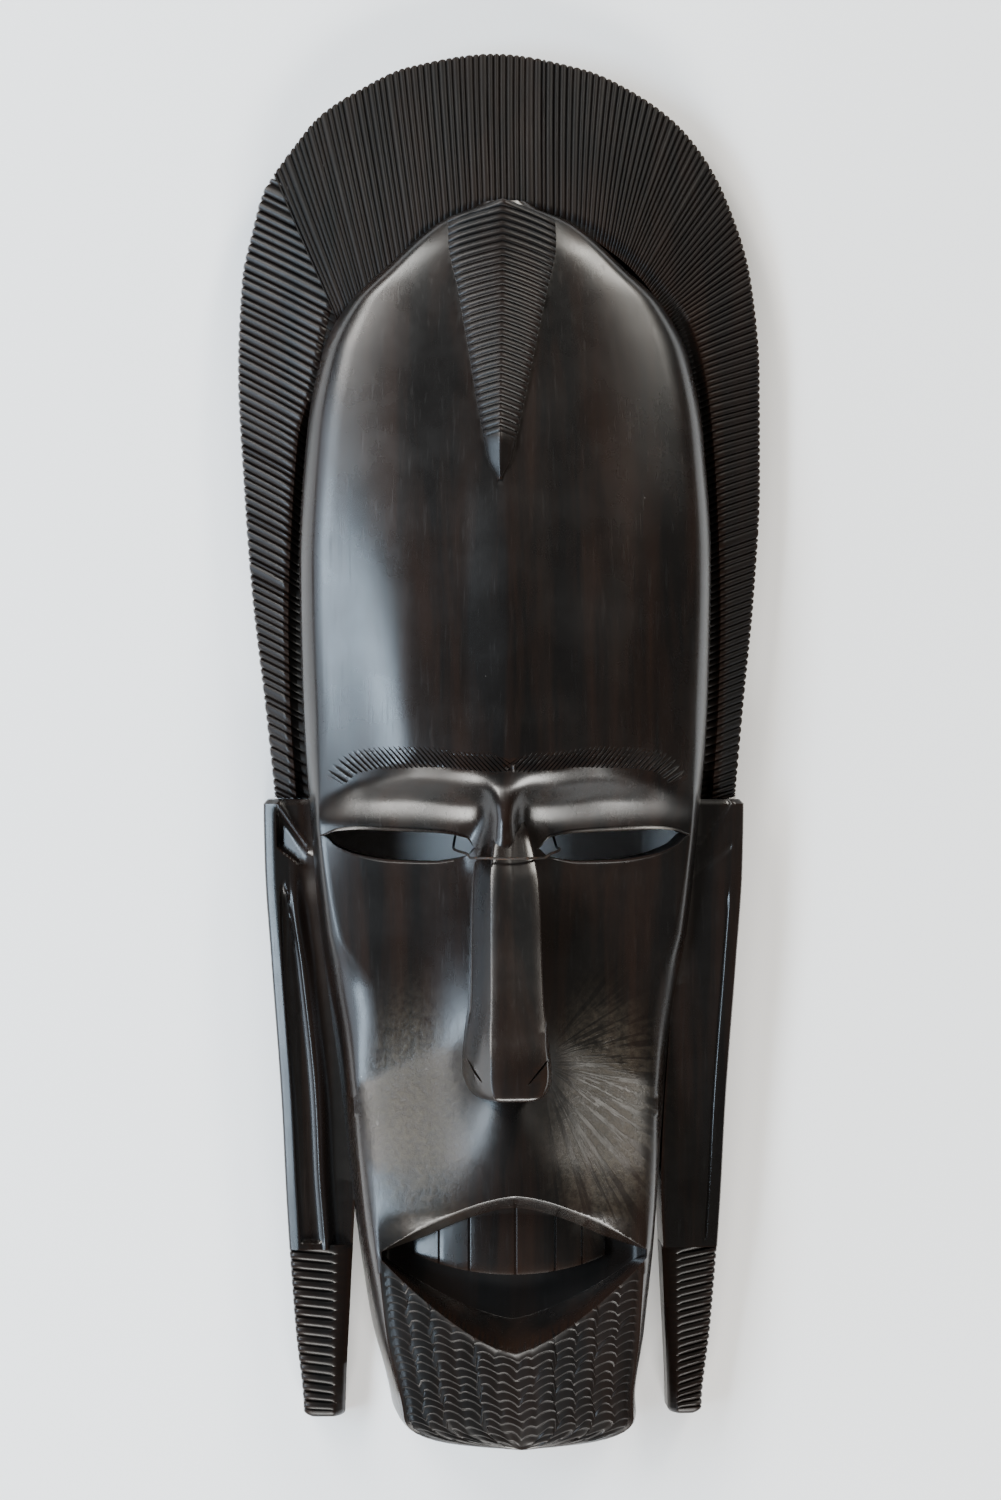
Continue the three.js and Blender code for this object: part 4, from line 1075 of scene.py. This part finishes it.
def ear_scored(d, y):
    """The right ear is flatter: a narrow scored line splits off its rail, and two more, as deep, mark the
    place of the pocket. Each is a bell across its line."""
    rail = 0.2 * np.clip(3.4 - d, 0, None) + 0.5 * np.clip(1 - d / 0.5, 0, 1) ** 2
    ends = smooth((EAR_ARCH_Y - y) / 14), smooth((y - EAR_FRAME_END_Y) / 1.6)
    line = np.exp(-((d - 4.8) / 0.35) ** 2) * ends[0] * ends[1]
    upper, lower = (np.exp(-((y - pocket) / 0.9) ** 2) for pocket in pocket_lines(d))
    return rail + 0.6 * line + 0.45 * (upper + lower) * smooth((d - 3.6) / 1.2)


print("left ear, rail, groove and valley:", np.round(ear_relief(np.array([2, 8, 16]), -100), 1), "mm deep")

# %% Ears
def ear_frame(side):
    """Rows down the ear, distances across it, and two points far below for its straight walls."""
    y = np.concatenate([
        [-18.0, -18.6], np.linspace(-19.6, -52, 40, endpoint=False),
        np.linspace(-52, -172, 84, endpoint=False), np.linspace(-172, EAR_FRAME_END_Y - 2, 12),
    ])[:, None]
    corner = 1.4 * np.clip(1 - (EAR_TOP_Y - y) / 1.6, 0, 1)
    outer, inner = ear_outer(y) - corner, ear_inner(y) + EAR_NARROWER[side]
    width = outer - inner
    low, high = np.minimum(groove_low(y), 4.4), np.maximum(groove_high(y), ridge_middle(y) - 0.7)
    d = np.concatenate([low * RAIL_PARTS, low + (high - low) * GROOVE_PARTS, high + VALLEY_PARTS], axis=1)
    if side > 0:
        d = SCORED_AT + 0 * y
    d = np.concatenate([np.minimum(d, width - 2), width - 1, width], axis=1)
    relief = ear_relief if side < 0 else ear_scored
    z = ear_top(y) - relief(d, y) - 0.8 * corner
    walls = (side * inner, y, BELOW), (side * outer, y, BELOW)
    return solid("ear_frame", side_by_side((side * (outer - d), y, z), *walls))


def ear_ladder(side):
    """Rungs between narrow cuts: the height dips at each cut from the outer edge to a plain bevel, which
    drops away to the jaw. Cuts fall towards the jaw, and shallow ones lie between deep ones by chance."""
    count = RUNGS[side]
    phase = np.array([0.0, 0.10, 0.26, 0.5, 0.76, 0.92])
    place = stroke_places(count, phase)
    start = EAR_FRAME_END_Y + 1.0
    pitch = (start - EAR_BOTTOM_Y - 2.6) / count
    depth = 1 + random.normal(0, RUNG_CHANCE, count + 1)
    fraction = np.tile(phase, count)
    number = place.astype(int)
    chance = depth[number] * (1 - fraction) + depth[number + 1] * fraction
    cut = RUNG_CUT * valley(fraction, 0.5) * chance
    tail = np.array([2.4, 1.6, 0.9, 0.35, 0.0])
    y = np.concatenate([start - place * pitch, EAR_BOTTOM_Y + tail])[:, None]
    cut = np.concatenate([cut, 0 * tail])[:, None]
    corner = np.clip((EAR_BOTTOM_Y + 2.4 - y) / 2.4, 0, 1) ** 2
    fall = RUNG_FALL[side] * np.clip((y - EAR_BOTTOM_Y) / 10, 0, 1)
    outer = ear_outer(y) - 2.6 * corner - 0.35 * (cut > 0.4)
    inner = ear_inner(y) + EAR_NARROWER[side] + 1.2 * corner
    v = np.array([0.0, 0.02, 0.07, 0.2, 0.4, 0.56, 0.66, 0.72, 0.78, 0.9, 1.0])
    carved = np.array([1.0, 1.0, 1.0, 1.0, 1.0, 1.0, 0.7, 0.25, 0.0, 0.0, 0.0])
    drop = np.array([1.5, 0.9, 0.25, 0.0, 0.0, 0.0, 0.05, 0.15, 0.6, 2.2, 4.4])
    z = ear_top(y) - 0.9 - drop - cut * carved - 1.2 * corner
    row_y = y - fall * np.clip(v / 0.72, 0, 1)
    walls = (side * inner, y - fall, BELOW), (side * outer, y, BELOW)
    top = side * (outer + (inner - outer) * v), row_y, z
    return solid("ear_ladder", side_by_side(top, *walls), COMBED)


EARS = [make(side) for make in (ear_frame, ear_ladder) for side in SIDES]

# %% [markdown]
# The back is hollow, as on every mask of this kind: it saves weight and keeps thick wood from splitting.
# Nobody polished it, so its roof shows the scallops of a wide gouge, row beside row.

# %% Hollow back
WALL, RIM = 10.0, 13.0
HOLLOW_TOP_Y, HOLLOW_BOTTOM_Y = 178.0, -226.0
HOLLOW_ROUND_TOP, HOLLOW_ROUND_BOTTOM = 30, 22
GOUGE_WIDE, GOUGE_LONG = 9.0, 15.0
behind_mouth = along([(-115, 60), (-145, 43), (-215, 43)])


def hollow():
    """Roof: the face's height less the wall, rounded down at the sides by a fourth power and at the ends by
    a circle. Gouge scallops are shallow half circles side by side, each row shifted from the last."""
    y = np.linspace(HOLLOW_TOP_Y, HOLLOW_BOTTOM_Y, 130)[:, None]
    share = np.sin(np.linspace(-1, 1, 61) * math.pi / 2)[None, :]
    top_end, bottom_end = (HOLLOW_TOP_Y - y) / HOLLOW_ROUND_TOP, (y - HOLLOW_BOTTOM_Y) / HOLLOW_ROUND_BOTTOM
    ends = np.minimum(np.minimum(top_end, bottom_end), 1)
    rounded = np.sqrt(np.clip(1 - (1 - ends) ** 2, 0.05, 1))
    half = np.clip(face_half(y) - RIM, 6, None) * rounded ** 0.6
    x = share * half
    bowl = np.clip(1 - share ** 4, 0.06, 1)
    roof = np.minimum(np.minimum(face_height(x, y), mid_line(y) + 3), behind_mouth(y)) - WALL
    row = np.floor(x / GOUGE_WIDE + 0.5)
    sideways = (x / GOUGE_WIDE - row) * 2
    lengthways = ((y / GOUGE_LONG + 0.37 * row) % 1 - 0.5) * 2
    scallop = 0.55 * sideways ** 2 + 0.35 * lengthways ** 2
    z = roof * bowl * rounded - scallop * bowl
    walls = (half, y, BELOW - 4), (-half, y, BELOW - 4)
    return solid("hollow", leaning(side_by_side((x, y, z), *walls)), RAW)


HOLLOW = hollow()

# %% [markdown]
# Now the block is put together in the carver's order: the mass of head, hair, ears, nose and beard, the
# brows and wings cut in, the lids, the pocket of the mouth and the teeth that stand in it, and last the
# hollow, the slits and the flat back. Every step is an exact cut between closed solids, so the result is
# one closed surface.

# %% Carve the block
for form in HAIR:
    carve(form, slab("hair_end", (-130, -60, BELOW - 9), (130, HAIR_END_Y - 0.6, ABOVE)), "DIFFERENCE")
for form in (*HAIR, *EARS, PEAK, NOSE, BEARD):
    carve(block, form, "UNION")
for cuts, groove, upper, lower in zip(BROWS, GROOVES, LIDS[::2], LIDS[1::2]):
    for form, operation in ((cuts, "DIFFERENCE"), (groove, "DIFFERENCE"), (upper, "UNION"), (lower, "UNION")):
        carve(block, form, operation)
carve(block, BEAD, "UNION")
carve(block, POCKET, "DIFFERENCE")
carve(block, TEETH, "UNION")
for tool in (HOLLOW, *SLITS, slab("back", (-200, -350, -60), (200, 350, 0))):
    carve(block, tool, "DIFFERENCE")
block.name = "carved_mask"
block.data.name = "carved_mask"
block.data.calc_loop_triangles()
print("carved mask:", len(block.data.loop_triangles), "triangles,", len(block.data.materials), "finishes")

# %% [markdown]
# Shading: faces are smooth except across real edges. For the convexity mask, each point is compared with
# the mean of its neighbours: a point that stands out above them is an edge that hands rub and that gets
# a painted highlight, one that lies below is the bottom of a cut where wax stays. The result is spread a
# little and stored on the mesh. The lower cheeks get a mask of their own, for a pale film that is partly
# dried polish and partly a painted highlight.

# %% Values on the mesh
SHARP = math.radians(38.0)
CONVEXITY_GAIN = 1.6
CHEEK_AXIS, CHEEK_X, CHEEK_Y = 1.0, 33, -128
CHEEK_WIDE, CHEEK_LONG = 17, 34


def read_all(items, key, width, kind=float):
    """One property of all items of a mesh, as rows of an array."""
    values = np.empty(len(items) * width, kind)
    items.foreach_get(key, values)
    return values.reshape(-1, width)


def store(mesh, name, values):
    """A value a point, kept on the mesh for its materials."""
    mesh.attributes.new(name, "FLOAT", "POINT").data.foreach_set("value", values.astype(np.float32))

# %% Convexity and cheek masks
def store_convexity_and_cheeks(mesh):
    """Convexity is a half plus the height of a point over its neighbours' mean along its normal, divided by
    the mean edge length there, smoothed once over the same neighbours; the material browns edges by it, as
    wear and as a painted highlight, and waxes the cuts. The cheek mask, for a pale film that is partly
    dried polish and partly a painted highlight, is a bell over each lower cheek."""
    points, normals = read_all(mesh.vertices, "co", 3), read_all(mesh.vertices, "normal", 3)
    a, b = read_all(mesh.edges, "vertices", 2, int).T

    def total(from_a, from_b):
        return np.bincount(b, from_a, len(points)) + np.bincount(a, from_b, len(points))

    count = np.maximum(total(np.ones(len(a)), np.ones(len(a))), 1)
    length = np.linalg.norm(points[a] - points[b], axis=1)
    reach = total(length, length) / count
    mean = np.stack([total(points[a, i], points[b, i]) for i in range(3)], -1) / count[:, None]
    over = np.einsum("ij,ij->i", points - mean, normals) / np.maximum(reach, 1e-6)
    over = (over + total(over[a], over[b]) / count) / 2
    # Convexity mask: edges browned as wear and painted highlight, cuts waxed.
    store(mesh, "convexity", np.clip(0.5 + CONVEXITY_GAIN * over, 0, 1))
    x, y = points[:, 0] * 1000 - SHIFT[0], points[:, 1] * 1000 - SHIFT[1]
    beside, down = (np.abs(x - CHEEK_AXIS) - CHEEK_X) / CHEEK_WIDE, (y - CHEEK_Y) / CHEEK_LONG
    # Cheek bell: where the pale film and its painted highlight go, and where the polish is rougher.
    store(mesh, "dry_and_highlight", np.exp(-(beside ** 2 + down ** 2) ** 1.5))
    return over

# %% Shading
def finish_shading(piece):
    """Smooth faces, sharp across real edges, and the convexity and cheek masks."""
    mesh = piece.data
    mesh.shade_smooth()
    mesh.set_sharp_from_angle(angle=SHARP)
    even = piece.modifiers.new("flat planes stay flat", "WEIGHTED_NORMAL")
    even.keep_sharp = True
    even.weight = 60
    return store_convexity_and_cheeks(mesh)


over = finish_shading(block)
print("wear from", round(float(over.min()), 2), "to", round(float(over.max()), 2))
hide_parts("mask")
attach(block, "root")

# %% [markdown]
# The hanging wire: one dark annealed wire, bent by hand. It comes from its loop behind the forehead,
# out through both eye slits and over the bridge of the nose. It is a round section carried along a
# smooth line through the places where it bends, with both ends closed.

# %% Wire route
WIRE_R, WIRE_GAP, WIRE_Y = 0.45, 0.9, -38.0
RIGHT_CLEAR = 0.9
CAD_LEAN, CAD_RIDGE = -1.2, 56.0
cad_half = along([(-9, 2), (-20, 4.5), (-31, 9), (-45, 12)])
cad_front = along([(-9, 0.6), (-20, 1.5), (-31, 4.5), (-45, 5.5)])


def wire_route():
    """Up behind the forehead, out through a slit, across the nose and back the same way. On the right it
    stands a little further off, because the nose is fuller there."""
    over_top = CAD_RIDGE + WIRE_R + WIRE_GAP
    flank, shoulder = (float(line(WIRE_Y)) + WIRE_R + WIRE_GAP for line in (cad_half, cad_front))
    half = [
        (0.9, 22, 27), (3, 12, 26), (12, -12, 22), (17.5, -31, 21), (18.4, -35, 27), (18.6, -35.3, 38),
        (17.4, -35.8, 46), (14.6, WIRE_Y + 1.4, 50.8),
    ]
    left, right = (
        [(side * x, y, z) for x, y, z in half] + [
            (CAD_LEAN + side * (flank + clear), WIRE_Y, over_top - 5.2 + clear),
            (CAD_LEAN + side * (shoulder + clear), WIRE_Y, over_top - 0.8),
        ]
        for side, clear in ((-1, 0.0), (1, RIGHT_CLEAR))
    )
    return np.array(left + [(CAD_LEAN, WIRE_Y, over_top + 0.2)] + right[::-1], float)


print("the wire bends at", len(wire_route()), "places")


def through_points(points, count):
    """A smooth line through points: each coordinate is a cubic in the distance walked so far."""
    walked = np.concatenate([[0], np.cumsum(np.linalg.norm(np.diff(points, axis=0), axis=1))])
    at = np.linspace(0, walked[-1], count)
    return np.stack([along(list(zip(walked, points[:, i])))(at) for i in range(3)], -1)

# %% Wire
def tube(name, path, radius, sides):
    """Rings square to the path: one axis of each is square to one fixed direction too, which works
    because this path never runs along that direction."""
    forward = np.gradient(path, axis=0)
    forward /= np.linalg.norm(forward, axis=1)[:, None]
    fixed = np.array([0.31, 0.83, 0.46])
    first = np.cross(forward, fixed)
    first /= np.linalg.norm(first, axis=1)[:, None]
    second = np.cross(forward, first)
    turn = np.linspace(0, 2 * math.pi, sides, endpoint=False)
    first, second = first[:, None] * np.cos(turn)[:, None], second[:, None] * np.sin(turn)[:, None]
    return solid(name, path[:, None] + radius * (first + second))

# %% [markdown]
# Old iron wire is dark grey brown with a dull shine, freckled with a little rust.

# %% Wire finish
def wire_finish():
    """Rust is fine noise; it colours the wire and roughens it."""
    material, tree, shader = principled("annealed wire", Metallic=0.7)
    place = node(tree, "TexCoord").outputs["Object"]
    rust = ramp(tree, noise(tree, place, 900.0), 0.52, 0.68)
    colour = mix_colour(tree, rust, (0.030, 0.026, 0.024, 1.0), (0.070, 0.034, 0.018, 1.0))
    gloss = weighted(tree, 0.42, (rust, 0.25))
    surface(tree, shader, colour, gloss, noise(tree, place, 2500.0), 0.6, 0.00004)
    return material


FINISHES[:] = [wire_finish()]
wire = tube("bent_wire", through_points(wire_route(), 220), WIRE_R, 14)
wire.data.shade_smooth()
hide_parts("hanging_wire")
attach(wire, "root")
print("wire points:", len(wire.data.vertices))

# %% [markdown]
# The stage: a plain pale floor, and light from large soft sources. A dark gloss shows mostly what it
# mirrors, so the places of the sources matter more than their strength: two cool tall ones at the left,
# four warmer ones beyond the crown and its corners, a faint one at the right, and a pale one beyond the
# chin that fills the hollows under the brows.

# %% Floor
HALF_FLOOR = 4.0
floor_mesh = bpy.data.meshes.new("floor")
corners = [(x * HALF_FLOOR, y * HALF_FLOOR, 0) for x, y in ((-1, -1), (1, -1), (1, 1), (-1, 1))]
floor_mesh.from_pydata(corners, [], [(0, 1, 2, 3)])
floor = bpy.data.objects.new("floor", floor_mesh)
bpy.context.scene.collection.objects.link(floor)
floor_mesh.materials.append(principled("pale floor", Base_Color=(0.95, 0.95, 0.95, 1.0), Roughness=0.9)[0])
floor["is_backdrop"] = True
print("floor:", 2 * HALF_FLOOR, "m square")

# %% Lights
SOURCES = [
    # name, place, size across and along, strength in watts, colour
    ("window", (-1.20, -0.05, 1.25), (0.42, 1.1), 36.0, (0.66, 0.83, 1.0)),
    ("left wall", (-1.90, -0.20, 0.85), (0.9, 2.2), 24.0, (0.70, 0.84, 1.0)),
    ("corner left", (-1.10, 1.00, 1.36), (0.50, 0.50), 19.0, (1.0, 0.97, 0.93)),
    ("corner right", (1.12, 1.00, 1.36), (0.40, 0.40), 7.0, (1.0, 0.96, 0.88)),
    ("crown left", (-1.00, 1.63, 1.08), (0.60, 0.55), 27.0, (0.98, 0.97, 0.93)),
    ("crown right", (1.00, 1.63, 1.08), (0.55, 0.50), 29.0, (1.0, 0.96, 0.88)),
    ("chin", (0.05, -1.70, 0.90), (1.1, 0.5), 66.0, (1.0, 0.98, 0.94)),
    ("right", (2.00, -0.10, 0.50), (0.6, 1.6), 1.0, (1.0, 0.94, 0.86)),
]


def soft_light(name, place, size, watts, colour):
    """A rectangular source that faces the mask."""
    data = bpy.data.lights.new(name, "AREA")
    data.shape = "RECTANGLE"
    data.size, data.size_y = size
    data.energy = watts
    data.color = colour
    light = bpy.data.objects.new(name, data)
    bpy.context.scene.collection.objects.link(light)
    light.location = place
    back = np.array(place) / np.linalg.norm(place)
    right = np.cross([0.0, 1.0, 0.0] if abs(back[1]) < 0.7 else [0.0, 0.0, 1.0], back)
    right /= np.linalg.norm(right)
    up = np.cross(back, right)
    light.rotation_euler = Matrix(np.stack([right, up, back], -1).tolist()).to_euler()


for source in SOURCES:
    soft_light(*source)
print("lights:", len(SOURCES), "with", sum(source[3] for source in SOURCES), "W in all")
world = bpy.data.worlds.new("room")
bpy.context.scene.world = world
world.use_nodes = True
sky = world.node_tree.nodes["Background"].inputs
sky["Color"].default_value = (1.0, 0.92, 0.84, 1.0)
sky["Strength"].default_value = 0.05

# %% Sizes and finish
boxes = [[list(map(float, corner)) for corner in box] for box in (CAD_BOX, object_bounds())]
for name, box in zip(("solids", "pieces"), boxes):
    print("box of the", name, np.round(box, 4).tolist())
